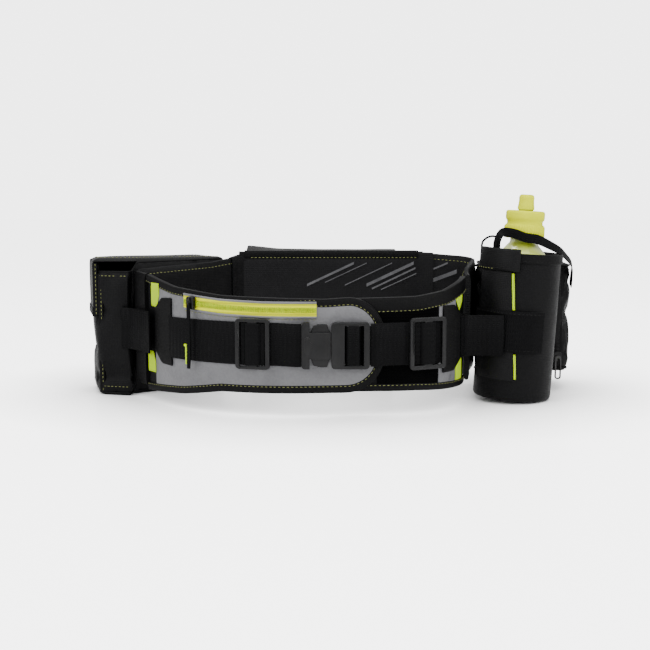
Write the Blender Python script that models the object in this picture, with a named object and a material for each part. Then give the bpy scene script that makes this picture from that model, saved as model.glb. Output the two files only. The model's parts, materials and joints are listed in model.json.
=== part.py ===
"""A sports waist pack standing on its edge with its buckle closed.

The belt is a closed loop of padded panels. A stiff lumbar section carries a rear pouch. The left
half carries a lidded pouch, a wing with a zipped pocket and the socket half of the buckle. The
right half carries a bottle holster, a zipped pouch, the inner wing and the plug half of the buckle.
+X is to the right seen from the buckle's side, +Y is towards the lumbar section, +Z is up.
"""
import math

import bmesh
import bpy
from mathutils import Matrix, Vector

# ---------------------------------------------------------------- driving dimensions, in metres
GAP = 0.0003                   # clearance left between pieces that rest on each other
CENTRE = (0.00236, 0.1158)      # middle of the whole pack's footprint, in plan

# Front of the belt in plan: three tangent arcs, the outermost ones tighter.
FRONT_X = -0.020               # where the front runs parallel to X
LEFT_ARC_R = 0.191
MIDDLE_ARC_R = 0.800
RIGHT_ARC_X = 0.070            # where the right-hand arc begins
RIGHT_ARC_R = 0.086
WING_LEFT_X = -0.181
WING_TIP_X = 0.056             # the left wing's rounded end
WING_THICK = 0.004
INNER_WING_X = 0.0085          # hidden end of the right wing
INNER_WING_SET = -0.005        # its face behind the left wing's face

# Rear of the belt.
LEFT_CREASE_X = -0.096
RIGHT_CREASE_X = 0.109
REAR_Y = 0.192                 # middle of the lumbar panel's thickness
LUMBAR_THICK = 0.008
SIDE_THICK = 0.006
CREASE_GAP = 0.0012
BELT_TOP = 0.147
BELT_LOW = 0.028
LEFT_FOLD = (-0.199, 0.1164)
RIGHT_CORNER = (0.166, 0.192)

# Strap line across the front.
STRAP_Z = 0.0705               # middle height of the webbing and the buckle
WEB_HALF = 0.0205              # half the webbing's height
WEB_THICK = 0.0016
WEB_SET = 0.0017               # webbing's back in front of the wing's face
FACE_THICK = 0.001

# Side-release buckle, lying along X.
BUCKLE_HALF = 0.022
BUCKLE_BACK = -0.0036
BUCKLE_FRONT = -0.0126
SOCKET_X = (-0.022, 0.0053)
PLUG_X = (0.0059, 0.042)
PRONG_PIVOT = (0.0048, 0.0095)     # X, and height above the strap's middle
BUCKLE_SHELL = 0.0017              # the socket's front and back plates

# Bottle and holster, on one leaning axis.
HOLSTER_BASE = (0.194, 0.099)
LEAN = math.radians(3.3)
HOLSTER_R = 0.040
HOLSTER_WALL = 0.0028
HOLSTER_TOP = 0.149
BOTTLE_R = 0.0365
BOTTLE_WALL = 0.0014
BOTTLE_FLOOR = 0.0045          # bottle's underside above the holster's
NECK_R = 0.0135

# Pouches.
POUCH_WALL = 0.0025
LEFT_POUCH = [(-0.2035, 0.108), (-0.2370, 0.1160), (-0.2535, 0.172), (-0.146, 0.235), (-0.110, 0.1875),
              (-0.2025, 0.1195)]
LEFT_POUCH_TOP = 0.140
LEFT_GUSSET_TOP = 0.130
REAR_POUCH_X = (-0.086, 0.078)
REAR_POUCH_Y = (0.1965, 0.240)
ZIP_POUCH = [(0.160, 0.143), (0.260, 0.143), (0.260, 0.213), (0.171, 0.213), (0.170, 0.181)]
ZIP_POUCH_Z = (0.021, 0.137)
ZIP_LINE_X = 0.250             # vertical zip on the zipped pouch's front

# Zipped pocket on the left wing.
ZIP_Z = 0.1035                 # middle height of the zip along the flat of the wing
ZIP_HALF = 0.0075
SLIDER_X = -0.127


# ---------------------------------------------------------------- materials
def material(name, colour, roughness, metallic=0.0, alpha=1.0):
    """One Principled material."""
    mat = bpy.data.materials.new(name)
    mat.use_nodes = True
    shader = mat.node_tree.nodes["Principled BSDF"]
    shader.inputs["Base Color"].default_value = (*colour, 1.0)
    shader.inputs["Roughness"].default_value = roughness
    shader.inputs["Metallic"].default_value = metallic
    shader.inputs["Alpha"].default_value = alpha
    return mat


BLACK = (0.012, 0.012, 0.013)
CHARCOAL = (0.030, 0.030, 0.032)
GREY = (0.28, 0.28, 0.29)
NEON = (0.75, 0.85, 0.03)


# ---------------------------------------------------------------- mesh helpers
def finish(bm, name, colour, roughness, parent, smooth=None):
    """Turn a bmesh into a named object with its own material."""
    bmesh.ops.recalc_face_normals(bm, faces=bm.faces)
    mesh = bpy.data.meshes.new(name)
    bm.to_mesh(mesh)
    bm.free()
    obj = bpy.data.objects.new(name, mesh)
    bpy.context.scene.collection.objects.link(obj)
    mesh.materials.append(material(name + "_mat", colour, roughness))
    if smooth is not None:
        mesh.shade_smooth()
        mesh.set_sharp_from_angle(angle=math.radians(smooth))
    place(obj, parent)
    return obj


def place(obj, parent):
    """Parent an object whose mesh is written in the pack's layout frame."""
    obj.parent = parent
    obj.matrix_parent_inverse = Matrix.Identity(4)
    if "origin" in parent:
        obj.data.transform(Matrix.Translation(-Vector(parent["origin"])))


def joint_empty(name, origin, parent):
    """An empty on a joint's axis, at a point of the layout frame."""
    empty = bpy.data.objects.new(name, None)
    bpy.context.scene.collection.objects.link(empty)
    base = Vector(parent["origin"]) if parent and "origin" in parent else Vector((0, 0, 0))
    empty.parent = parent
    empty.location = Vector(origin) - base
    empty["origin"] = list(origin)
    return empty


def loft(rings, closed=False):
    """Skin a row of equal rings of points, with end faces or as a closed hoop."""
    bm = bmesh.new()
    made = [[bm.verts.new(point) for point in ring] for ring in rings]
    pairs = list(zip(made, made[1:]))
    if closed:
        pairs.append((made[-1], made[0]))
    count = len(made[0])
    for ring_a, ring_b in pairs:
        for k in range(count):
            n = (k + 1) % count
            bm.faces.new((ring_a[k], ring_a[n], ring_b[n], ring_b[k]))
    if not closed:
        bm.faces.new(made[0])
        bm.faces.new(list(reversed(made[-1])))
    return bm


def prism(outline, low, high):
    """A plan outline raised from low to high."""
    return loft([[(x, y, low) for x, y in outline], [(x, y, high) for x, y in outline]])


def upright_prism(outline, front, back):
    """An outline in X and Z given depth along Y."""
    return loft([[(x, front, z) for x, z in outline], [(x, back, z) for x, z in outline]])


def rectangle(x0, x1, z0, z1):
    """Four corners."""
    return [(x0, z0), (x1, z0), (x1, z1), (x0, z1)]


def rounded(corners, radius, steps=4):
    """A closed outline with every corner rounded."""
    result = []
    count = len(corners)
    for k, corner in enumerate(corners):
        here = Vector(corner)
        before = (Vector(corners[k - 1]) - here)
        after = (Vector(corners[(k + 1) % count]) - here)
        result += fillet(here, before, after, radius, steps)
    return result


def fillet(corner, before, after, radius, steps):
    """Points of the arc that rounds one corner between two directions."""
    angle = before.angle(after)
    reach = min(radius / math.tan(angle / 2), 0.45 * before.length, 0.45 * after.length)
    true_radius = reach * math.tan(angle / 2)
    start = before.normalized()
    end = after.normalized()
    centre = corner + (start + end).normalized() * (true_radius / math.sin(angle / 2))
    arm_a = corner + start * reach - centre
    arm_b = corner + end * reach - centre
    sweep = arm_a.angle_signed(arm_b)
    points = []
    for k in range(steps + 1):
        turned = arm_a.copy()
        turned.rotate(Matrix.Rotation(-sweep * k / steps, 2))
        points.append(tuple(centre + turned))
    return points


def soft_path(corners, radii, steps=5):
    """An open path through corners, each inner corner rounded by its own radius."""
    points = [tuple(corners[0])]
    for k in range(1, len(corners) - 1):
        here = Vector(corners[k])
        before = Vector(corners[k - 1]) - here
        after = Vector(corners[k + 1]) - here
        points += fillet(here, before, after, radii[k - 1], steps)
    points.append(tuple(corners[-1]))
    return points


def inset(outline, distance):
    """A closed outline moved inwards by a distance."""
    area = sum(a[0] * b[1] - b[0] * a[1] for a, b in zip(outline, outline[1:] + outline[:1]))
    side = 1 if area > 0 else -1
    result = []
    count = len(outline)
    for k, point in enumerate(outline):
        here = Vector(point)
        along_a = (here - Vector(outline[k - 1])).normalized()
        along_b = (Vector(outline[(k + 1) % count]) - here).normalized()
        normal_a = Vector((-along_a.y, along_a.x)) * side
        normal_b = Vector((-along_b.y, along_b.x)) * side
        middle = (normal_a + normal_b).normalized()
        result.append(tuple(here + middle * (distance / max(middle.dot(normal_a), 0.3))))
    return result


def ramp(*stops):
    """A function that runs straight between (place, value) stops."""
    def value(place_at):
        for (a, low), (b, high) in zip(stops, stops[1:]):
            if place_at <= b:
                return low + (high - low) * max(place_at - a, 0.0) / (b - a)
        return stops[-1][1]
    return value


def level(value):
    """A function with one value everywhere."""
    return ramp((0.0, value), (1.0, value))


def wall(path, inner, outer, low, high, key=None):
    """Upright panel along a plan path. Inner and outer are its faces' distances from the path,
    outwards, and low and high its edges; each is a number or a function of the path's X."""
    as_function = [f if callable(f) else level(f) for f in (inner, outer, low, high)]
    rings = []
    for k, point in enumerate(path):
        here = Vector(point)
        ahead = Vector(path[min(k + 1, len(path) - 1)])
        behind = Vector(path[max(k - 1, 0)])
        along = (ahead - behind).normalized()
        normal = Vector((along.y, -along.x))
        at = here.x if key is None else key[k]
        a, b, z0, z1 = (f(at) for f in as_function)
        near = here + normal * a
        far = here + normal * b
        rings.append([(near.x, near.y, z0), (far.x, far.y, z0), (far.x, far.y, z1), (near.x, near.y, z1)])
    return loft(rings)


def turned(profile, axis_point, segments, lean=0.0):
    """A profile of (radius, height) points turned about an axis that leans towards +X. A profile
    that starts and ends on the axis gives a solid, one that doesn't gives a ring."""
    bm = bmesh.new()
    tilt = Matrix.Rotation(lean, 4, "Y")
    rows = []
    for radius, height in profile:
        if radius == 0.0:
            rows.append([bm.verts.new(tilt @ Vector((0, 0, height)))])
            continue
        ring = []
        for k in range(segments):
            a = 2 * math.pi * k / segments
            ring.append(bm.verts.new(tilt @ Vector((radius * math.cos(a), radius * math.sin(a), height))))
        rows.append(ring)
    pairs = list(zip(rows, rows[1:]))
    if profile[0][0] > 0.0:
        pairs.append((rows[-1], rows[0]))
    for row_a, row_b in pairs:
        for k in range(segments):
            n = (k + 1) % segments
            corners = [row_a[k % len(row_a)], row_a[n % len(row_a)], row_b[n % len(row_b)],
                       row_b[k % len(row_b)]]
            bm.faces.new(list(dict.fromkeys(corners)))
    bmesh.ops.translate(bm, verts=bm.verts, vec=Vector(axis_point))
    return bm


def sector(inner, outer, first, last, low, high, steps=10):
    """Part of a ring round the holster's leaning axis, between two angles in degrees."""
    rings = []
    tilt = Matrix.Rotation(LEAN, 4, "Y")
    base = Vector((*HOLSTER_BASE, holster_lift()))
    for k in range(steps + 1):
        a = math.radians(first + (last - first) * k / steps)
        c, s = math.cos(a), math.sin(a)
        section = [(inner, low), (outer, low), (outer, high), (inner, high)]
        rings.append([base + tilt @ Vector((r * c, r * s, h)) for r, h in section])
    return loft(rings)


def cutter(bm, name, target):
    """Cut a closed mesh out of a target with a Boolean."""
    bmesh.ops.recalc_face_normals(bm, faces=bm.faces)
    mesh = bpy.data.meshes.new(name)
    bm.to_mesh(mesh)
    bm.free()
    obj = bpy.data.objects.new(name, mesh)
    bpy.context.scene.collection.objects.link(obj)
    place(obj, target.parent)
    obj.hide_render = True
    obj.display_type = "WIRE"
    modifier = target.modifiers.new(name, "BOOLEAN")
    modifier.operation = "DIFFERENCE"
    modifier.solver = "EXACT"
    modifier.object = obj


def smooth_curve(points, steps):
    """Points of a Catmull-Rom curve through given points."""
    knots = [Vector(p) for p in points]
    knots = [knots[0] * 2 - knots[1]] + knots + [knots[-1] * 2 - knots[-2]]
    result = []
    for a, b, c, d in zip(knots, knots[1:], knots[2:], knots[3:]):
        for k in range(steps):
            t = k / steps
            result.append(0.5 * (2 * b + (c - a) * t + (2 * a - 5 * b + 4 * c - d) * t * t
                                 + (3 * b - 3 * c + d - a) * t ** 3))
    result.append(knots[-2])
    return result


def tube(points, radius, name, colour, roughness, parent):
    """A round cord along points of the layout frame."""
    data = bpy.data.curves.new(name, "CURVE")
    data.dimensions = "3D"
    data.bevel_depth = radius
    data.bevel_resolution = 2
    data.render_resolution_u = 0
    data.use_fill_caps = True
    spline = data.splines.new("POLY")
    spline.points.add(len(points) - 1)
    for item, point in zip(spline.points, points):
        item.co = (*point, 1.0)
    obj = bpy.data.objects.new(name, data)
    bpy.context.scene.collection.objects.link(obj)
    data.materials.append(material(name + "_mat", colour, roughness))
    obj.parent = parent
    if "origin" in parent:
        data.transform(Matrix.Translation(-Vector(parent["origin"])))
    return obj


# ---------------------------------------------------------------- belt geometry
def front_y(x):
    """Y of the left wing's front face at X, along the three arcs."""
    if x < FRONT_X:
        return LEFT_ARC_R - math.sqrt(LEFT_ARC_R ** 2 - (x - FRONT_X) ** 2)
    if x < RIGHT_ARC_X:
        return MIDDLE_ARC_R - math.sqrt(MIDDLE_ARC_R ** 2 - (x - FRONT_X) ** 2)
    cx, cy = right_arc_centre()
    return cy - math.sqrt(max(RIGHT_ARC_R ** 2 - (x - cx) ** 2, 0.0))


def right_arc_centre():
    """Centre of the right-hand arc, tangent to the middle one."""
    lean = math.asin((RIGHT_ARC_X - FRONT_X) / MIDDLE_ARC_R)
    y = MIDDLE_ARC_R - MIDDLE_ARC_R * math.cos(lean)
    return RIGHT_ARC_X - RIGHT_ARC_R * math.sin(lean), y + RIGHT_ARC_R * math.cos(lean)


def front_path(x0, x1, step=0.010):
    """Plan points along the front from X0 to X1, evenly spread along its length."""
    fine = [(x0 + (x1 - x0) * k / 400, front_y(x0 + (x1 - x0) * k / 400)) for k in range(401)]
    lengths = [0.0]
    for a, b in zip(fine, fine[1:]):
        lengths.append(lengths[-1] + math.dist(a, b))
    count = max(2, round(lengths[-1] / step))
    result = []
    for k in range(count + 1):
        want = lengths[-1] * k / count
        nearest = min(range(401), key=lambda i: abs(lengths[i] - want))
        result.append(fine[nearest])
    return result


def left_arc_point(x, out):
    """Point at a distance in front of the left-hand arc, and the arc's outward direction."""
    angle = math.asin((x - FRONT_X) / LEFT_ARC_R)
    normal = Vector((math.sin(angle), -math.cos(angle), 0))
    return Vector((x, front_y(x), 0)) + normal * out, normal


def right_arc_point(x, out):
    """The same for the right-hand arc."""
    cx, cy = right_arc_centre()
    angle = math.asin((x - cx) / RIGHT_ARC_R)
    normal = Vector((math.sin(angle), -math.cos(angle), 0))
    return Vector((x, front_y(x), 0)) + normal * out, normal


def facing(bm, point, normal, height):
    """Move a mesh built in X and Z about the origin, front towards -Y, to face outwards at a point."""
    turn = Matrix.Rotation(math.atan2(normal.x, -normal.y), 4, "Z")
    bmesh.ops.transform(bm, matrix=Matrix.Translation((point.x, point.y, height)) @ turn, verts=bm.verts)
    return bm


def wing_top(x):
    """Upper edge of the left wing: it rises towards the hip and rounds off at the tip."""
    body = ramp((-0.181, 0.1290), (-0.150, 0.1200), (-0.100, 0.1145), (0.0, 0.1125), (0.030, 0.1145),
                (0.056, 0.1145))
    return rounded_end(x, body(x), 1)


def wing_low(x):
    """Lower edge of the left wing."""
    body = ramp((-0.181, 0.0120), (-0.140, 0.0160), (-0.100, 0.0230), (0.056, 0.0250))
    return rounded_end(x, body(x), -1)


def rounded_end(x, edge, side):
    """Bend an edge towards the middle near the wing's tip."""
    radius = 0.036
    into = x - (WING_TIP_X - radius)
    if into <= 0:
        return edge
    drop = radius - math.sqrt(max(radius ** 2 - into ** 2, 0.0))
    return edge - side * min(drop, radius * 0.86)


def holster_lift():
    """Height of the leaning base's centre with its low edge on the floor."""
    return HOLSTER_R * math.sin(LEAN)


# ---------------------------------------------------------------- lumbar section
def lumbar(root):
    """Padded lumbar panel, its lining, the rear pouch and its lid."""
    span = [(RIGHT_CREASE_X - CREASE_GAP / 2, REAR_Y), (LEFT_CREASE_X + CREASE_GAP / 2, REAR_Y)]
    half = LUMBAR_THICK / 2
    panel = wall(span, -half, half, BELT_LOW, BELT_TOP)
    finish(panel, "lumbar_panel", BLACK, 0.85, root)
    inner = [(RIGHT_CREASE_X - 0.006, REAR_Y), (LEFT_CREASE_X + 0.006, REAR_Y)]
    lining = wall(inner, -half - GAP - 0.0012, -half - GAP, BELT_LOW + 0.007, BELT_TOP - 0.007)
    finish(lining, "lumbar_lining", CHARCOAL, 0.9, root)

    x0, x1 = REAR_POUCH_X
    y0, y1 = REAR_POUCH_Y
    outline = rounded([(x0, y0), (x1, y0), (x1, y1), (x0, y1)], 0.012)
    pouch = finish(prism(outline, 0.0, BELT_TOP - 0.003), "rear_pouch", BLACK, 0.85, root)
    cutter(prism(inset(outline, POUCH_WALL), POUCH_WALL, BELT_TOP + 0.01), "rear_pouch_cavity", pouch)
    patch = prism(rectangle(x0 + 0.030, x1 - 0.030, y1 + GAP, y1 + 0.0012), 0.094, 0.116)
    finish(patch, "rear_closure_patch", CHARCOAL, 0.95, root)

    hinge = joint_empty("rear_lid_hinge", (0.0, y0 + 0.002, BELT_TOP), root)
    top, under, drop = BELT_TOP, BELT_TOP - 0.0024, 0.088
    back, inside = y1 + 0.0042, y1 + 0.0018
    start = y0 + 0.002
    section = [(start, top), (start, under), (inside, under), (inside, drop), (back, drop), (back, top)]
    lid = loft([[(x0 - 0.002, y, z) for y, z in section], [(x1 + 0.002, y, z) for y, z in section]])
    finish(lid, "rear_pouch_lid", BLACK, 0.85, hinge)


# ---------------------------------------------------------------- left half
def left_belt(half):
    """Left side panel and the outer wing with its facing and trims."""
    end_y = front_y(WING_LEFT_X)
    crease = Vector((LEFT_CREASE_X, REAR_Y))
    start = crease + (Vector(LEFT_FOLD) - crease).normalized() * 0.004
    corners = [tuple(start), LEFT_FOLD, (WING_LEFT_X - 0.0006, end_y + 0.0009)]
    path = soft_path(corners, [0.012], 6)
    thick = SIDE_THICK / 2
    keys = [k / (len(path) - 1) for k in range(len(path))]
    panel = wall(path, -thick, thick, 0.0145, ramp((0.0, BELT_TOP - 0.006), (0.2, 0.137), (1.0, 0.131)),
                 keys)
    finish(panel, "left_side_panel", BLACK, 0.85, half)

    wing_path = front_path(WING_LEFT_X, WING_TIP_X - 0.0312, 0.010) + front_path(WING_TIP_X - 0.026,
                                                                                 WING_TIP_X, 0.0045)
    finish(wall(wing_path, -WING_THICK, 0.0, wing_low, wing_top), "left_wing", BLACK, 0.8, half)
    face_path = front_path(WING_LEFT_X + 0.010, WING_TIP_X - 0.030, 0.010)
    face_path += front_path(WING_TIP_X - 0.024, WING_TIP_X - 0.007, 0.0045)

    def face_low(x):
        return wing_low(x) + ramp((-0.171, 0.0150), (-0.100, 0.0065), (0.05, 0.0060))(x)

    def face_top(x):
        return wing_top(x) - 0.0055

    face = wall(face_path, GAP, GAP + FACE_THICK, face_low, face_top)
    finish(face, "wing_facing", GREY, 0.45, half)
    outer = GAP * 2 + FACE_THICK
    zip_path = front_path(-0.137, -0.008, 0.009)
    rise = ramp((-0.137, 0.0045), (-0.100, 0.0012), (-0.060, 0.0), (0.0, 0.0))
    tape = wall(zip_path, outer, outer + 0.0012, lambda x: ZIP_Z - ZIP_HALF + rise(x),
                lambda x: ZIP_Z + ZIP_HALF * 0.85 + rise(x))
    finish(tape, "front_zip_tape", NEON, 0.6, half)

    upper = wall(front_path(-0.1745, -0.1655, 0.003), outer, outer + 0.0008,
                 ramp((-0.1745, 0.0985), (-0.1680, 0.0985), (-0.1655, 0.110)), 0.1225)
    finish(upper, "left_trim_upper", NEON, 0.6, half)
    lower = wall(front_path(-0.1800, -0.1710, 0.003), GAP, GAP + 0.0008, 0.031,
                 ramp((-0.1800, 0.0525), (-0.1735, 0.0525), (-0.1710, 0.041)))
    finish(lower, "left_trim_lower", NEON, 0.6, half)


def left_strap(half):
    """Anchor tab, webbing and slide adjuster on the left wing, and the band behind them."""
    tab_path = front_path(-0.1690, -0.1505, 0.003)
    spread = ramp((-0.1690, 0.0225), (-0.1620, 0.0330), (-0.1505, 0.0340))
    base = GAP * 2 + FACE_THICK + GAP + 0.0008
    tab = wall(tab_path, base, base + 0.0016, lambda x: STRAP_Z + 0.005 - spread(x),
               lambda x: STRAP_Z + 0.005 + spread(x))
    finish(tab, "left_anchor_tab", BLACK, 0.7, half)
    sit = ramp((-0.1500, WEB_SET), (-0.0450, WEB_SET), (-0.0265, 0.0072), (-0.0225, 0.0072))
    path = front_path(-0.1500, -0.0225, 0.009)
    webbing = wall(path, sit, lambda x: sit(x) + WEB_THICK, STRAP_Z - WEB_HALF, STRAP_Z + WEB_HALF)
    finish(webbing, "left_webbing", BLACK, 0.75, half)

    band_path = soft_path([(-0.2110, 0.1058), (-0.2010, 0.1032), (-0.1860, 0.0860), (-0.1755, 0.0697)],
                          [0.006, 0.02], 3)
    band = wall(band_path, 0.0010, 0.0026, STRAP_Z + 0.002 - 0.0215, STRAP_Z + 0.002 + 0.0215)
    finish(band, "left_hip_band", BLACK, 0.75, half)


def glide(name, point, normal, half_length, half_height, parent):
    """Slide adjuster: a flat frame with a middle bar, and the webbing that rides over the bar."""
    frame = rounded(rectangle(-half_length, half_length, -half_height, half_height), 0.0035, 3)
    obj = finish(facing(upright_prism(frame, -0.003, 0.0), point, normal, STRAP_Z), name, CHARCOAL, 0.5,
                 parent)
    bar = 0.0045
    side = 0.0042
    for k, (a, b) in enumerate([(-half_length + side, -bar), (bar, half_length - side)]):
        hole = rectangle(a, b, -WEB_HALF - 0.0006, WEB_HALF + 0.0006)
        cutter(facing(upright_prism(hole, -0.01, 0.01), point, normal, STRAP_Z), name + "_slot_" + str(k),
               obj)
    reach = half_length - side - 0.0012
    over = -0.003 - GAP
    thick = 0.0012
    section = [(-reach, 0.0), (-bar - 0.0028, 0.0), (-bar - 0.0028 + 0.0016, over + 0.0008),
               (bar + 0.0012, over + 0.0008),
               (bar + 0.0028, 0.0), (reach, 0.0), (reach, -thick), (bar + 0.0040, -thick),
               (bar + 0.0018, over - thick), (-bar - 0.0018, over - thick), (-bar - 0.0040,
                                                                             -thick), (-reach, -thick)]
    section = [(x, min(y, over) if abs(x) < bar + 0.0016 else y) for x, y in section]
    low = [(x, y, -WEB_HALF + 0.0004) for x, y in section]
    high = [(x, y, WEB_HALF - 0.0004) for x, y in section]
    finish(facing(loft([low, high]), point, normal, STRAP_Z), name + "_webbing", BLACK, 0.75, parent)


def left_glide(half):
    """The left slide adjuster turns about the left arc's centre, so it follows the webbing."""
    empty = joint_empty("left_glide_centre", (FRONT_X, LEFT_ARC_R, STRAP_Z), half)
    point, normal = left_arc_point(-0.0675, WEB_SET + WEB_THICK + GAP)
    glide("left_glide", point, normal, 0.0170, 0.0240, empty)


def front_zip(half):
    """Slider and hanging pull of the wing's pocket, both carried round the left arc's centre."""
    centre = joint_empty("front_zip_centre", (FRONT_X, LEFT_ARC_R, ZIP_Z), half)
    point, normal = left_arc_point(SLIDER_X, GAP * 3 + FACE_THICK + 0.0012)
    height = ZIP_Z + 0.0035
    body = rounded(rectangle(-0.0045, 0.0045, -0.006, 0.006), 0.002, 3)
    finish(facing(upright_prism(body, -0.0040, 0.0), point, normal, height), "front_zip_slider", BLACK,
           0.4, centre)
    pivot = point + normal * 0.0058
    swing = joint_empty("front_pull_pivot", (pivot.x, pivot.y, height - 0.001), centre)
    ribbon = [(-0.0019, 0.0), (0.0019, 0.0), (0.0019, -0.052), (0.0010, -0.064), (-0.0024, -0.064),
              (-0.0019, -0.052)]
    finish(facing(upright_prism(ribbon, -0.0007, 0.0007), pivot, normal, height), "front_zip_pull", BLACK,
           0.7, swing)
    hook = [(-0.0060, -0.040), (-0.0026, -0.040), (-0.0026, -0.0600), (-0.0044, -0.0600),
            (-0.0044, -0.0425), (-0.0060, -0.0425)]
    finish(facing(upright_prism(hook, -0.0006, 0.0006), pivot, normal, height), "front_pull_accent", NEON,
           0.6, swing)


def buckle_socket(half):
    """Socket of the side-release buckle: an end bar and two plates joined by a middle rib."""
    x0, x1 = SOCKET_X
    outline = rounded(rectangle(x0, x1, STRAP_Z - BUCKLE_HALF, STRAP_Z + BUCKLE_HALF), 0.003, 3)
    obj = finish(upright_prism(outline, BUCKLE_FRONT, BUCKLE_BACK), "buckle_socket", CHARCOAL, 0.45, half)
    for side in (-1, 1):
        cavity = rectangle(x0 + 0.0075, x1 + 0.01, STRAP_Z + side * 0.0032, STRAP_Z + side * 0.03)
        cutter(upright_prism(cavity, BUCKLE_FRONT + BUCKLE_SHELL, BUCKLE_BACK - BUCKLE_SHELL),
               "socket_cavity_" + str(side + 1), obj)
        notch = rectangle(x0 + 0.0075, x1 + 0.01, STRAP_Z + side * 0.0125, STRAP_Z + side * 0.03)
        cutter(upright_prism(notch, BUCKLE_FRONT - 0.01, BUCKLE_BACK + 0.01),
               "socket_notch_" + str(side + 1), obj)


def left_pouch(half):
    """Lidded pouch on the left hip, open at the top, with a lower front gusset."""
    outline = rounded(LEFT_POUCH, 0.012, 4)
    obj = finish(prism(outline, 0.0, LEFT_POUCH_TOP), "left_pouch", BLACK, 0.8, half)
    cutter(prism(inset(outline, POUCH_WALL), POUCH_WALL, LEFT_POUCH_TOP + 0.01), "left_pouch_cavity", obj)
    mouth = prism([(-0.2600, 0.1000), (-0.1980, 0.0950), (-0.2045, 0.1165), (-0.2325, 0.1218)],
                  LEFT_GUSSET_TOP, LEFT_POUCH_TOP + 0.01)
    cutter(mouth, "left_gusset_cut", obj)

    inner_a, inner_b = Vector(LEFT_POUCH[5]), Vector(LEFT_POUCH[4])
    along = (inner_b - inner_a).normalized()
    out = Vector((-along.y, along.x))
    hinge = joint_empty("left_lid_hinge", (inner_a.x, inner_a.y, LEFT_POUCH_TOP + GAP), half)
    near_a = inner_a + along * 0.004 + out * 0.0015
    near_b = inner_b + out * 0.0015
    plate = [tuple(near_a), (-0.2402, 0.1135), (-0.2562, 0.1755), (-0.1462, 0.2385), tuple(near_b)]
    plate = rounded(plate, 0.008, 3)
    finish(prism(plate, LEFT_POUCH_TOP + GAP, LEFT_POUCH_TOP + 0.0028), "left_pouch_lid", BLACK, 0.75,
           hinge)
    flap = soft_path([(-0.1462, 0.2405), (-0.2570, 0.1765), (-0.2410, 0.1175)], [0.012], 5)
    skirt = wall(flap, 0.0, 0.0022, 0.084, LEFT_POUCH_TOP - GAP)
    finish(skirt, "left_lid_skirt", BLACK, 0.75, hinge)


# ---------------------------------------------------------------- right half
def right_belt(half):
    """Right side panel and the inner wing with its loop patch, stripe and trims."""
    cx, cy = right_arc_centre()
    end_x = cx + RIGHT_ARC_R
    corners = [(end_x - 0.0002, cy + 0.0010), (0.1470, 0.1150), RIGHT_CORNER,
               (RIGHT_CREASE_X + CREASE_GAP / 2, REAR_Y)]
    path = soft_path(corners, [0.060, 0.013], 5)
    keys = [k / (len(path) - 1) for k in range(len(path))]
    thick = SIDE_THICK / 2
    panel = wall(path, -thick, thick, 0.0200, ramp((0.0, 0.129), (0.4, 0.137), (1.0, BELT_TOP - 0.003)),
                 keys)
    finish(panel, "right_side_panel", BLACK, 0.85, half)

    face = INNER_WING_SET
    arc_end = end_x - 0.0004
    top = ramp((0.0, 0.1120), (0.090, 0.1140), (0.120, 0.1180), (0.147, 0.1280))
    low = ramp((0.0, 0.0250), (0.090, 0.0245), (0.120, 0.0225), (0.147, 0.0210))
    finish(wall(front_path(INNER_WING_X, arc_end, 0.009), face - WING_THICK, face, low, top),
           "right_wing", BLACK, 0.8, half)
    patch = wall(front_path(0.0600, 0.1120, 0.010), face + GAP, face + GAP + 0.0008, 0.0320, 0.1060)
    finish(patch, "loop_patch", (0.006, 0.006, 0.006), 0.98, half)
    stripe = wall(front_path(0.1128, 0.1318, 0.005), face + GAP, face + GAP + 0.0008,
                  lambda x: low(x) + 0.006, lambda x: top(x) - 0.006)
    finish(stripe, "right_face_stripe", GREY, 0.45, half)
    upper = wall(front_path(0.1326, 0.1402, 0.003), face + GAP, face + GAP + 0.0008,
                 ramp((0.1326, 0.108), (0.137, 0.0965), (0.1402, 0.104)), lambda x: top(x) - 0.0055)
    finish(upper, "right_trim_upper", NEON, 0.6, half)
    lower = wall(front_path(0.1326, 0.1402, 0.003), face + GAP, face + GAP + 0.0008,
                 lambda x: low(x) + 0.0055, ramp((0.1326, 0.040), (0.137, 0.0510), (0.1402, 0.0500)))
    finish(lower, "right_trim_lower", NEON, 0.6, half)


def right_strap(half):
    """Anchor tab, webbing and slide adjuster of the right half."""
    face = INNER_WING_SET + 0.0014
    spread = ramp((0.1165, 0.0330), (0.1290, 0.0325), (0.1380, 0.0215), (0.1425, 0.0205))
    tab = wall(front_path(0.1165, 0.1425, 0.004), face, face + 0.0016,
               lambda x: STRAP_Z + 0.001 - spread(x), lambda x: STRAP_Z + 0.001 + spread(x))
    finish(tab, "right_anchor_tab", BLACK, 0.7, half)
    sit = ramp((0.0425, 0.0072), (0.0480, 0.0072), (0.0640, WEB_SET), (0.1125, WEB_SET),
               (0.1160, face + 0.0004))
    webbing = wall(front_path(0.0425, 0.1160, 0.006), sit, lambda x: sit(x) + WEB_THICK,
                   STRAP_Z - WEB_HALF, STRAP_Z + WEB_HALF)
    finish(webbing, "right_webbing", BLACK, 0.75, half)
    cx, cy = right_arc_centre()
    empty = joint_empty("right_glide_centre", (cx, cy, STRAP_Z), half)
    point, normal = right_arc_point(0.0960, WEB_SET + WEB_THICK + GAP)
    glide("right_glide", point, normal, 0.0195, 0.0250, empty)


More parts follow.
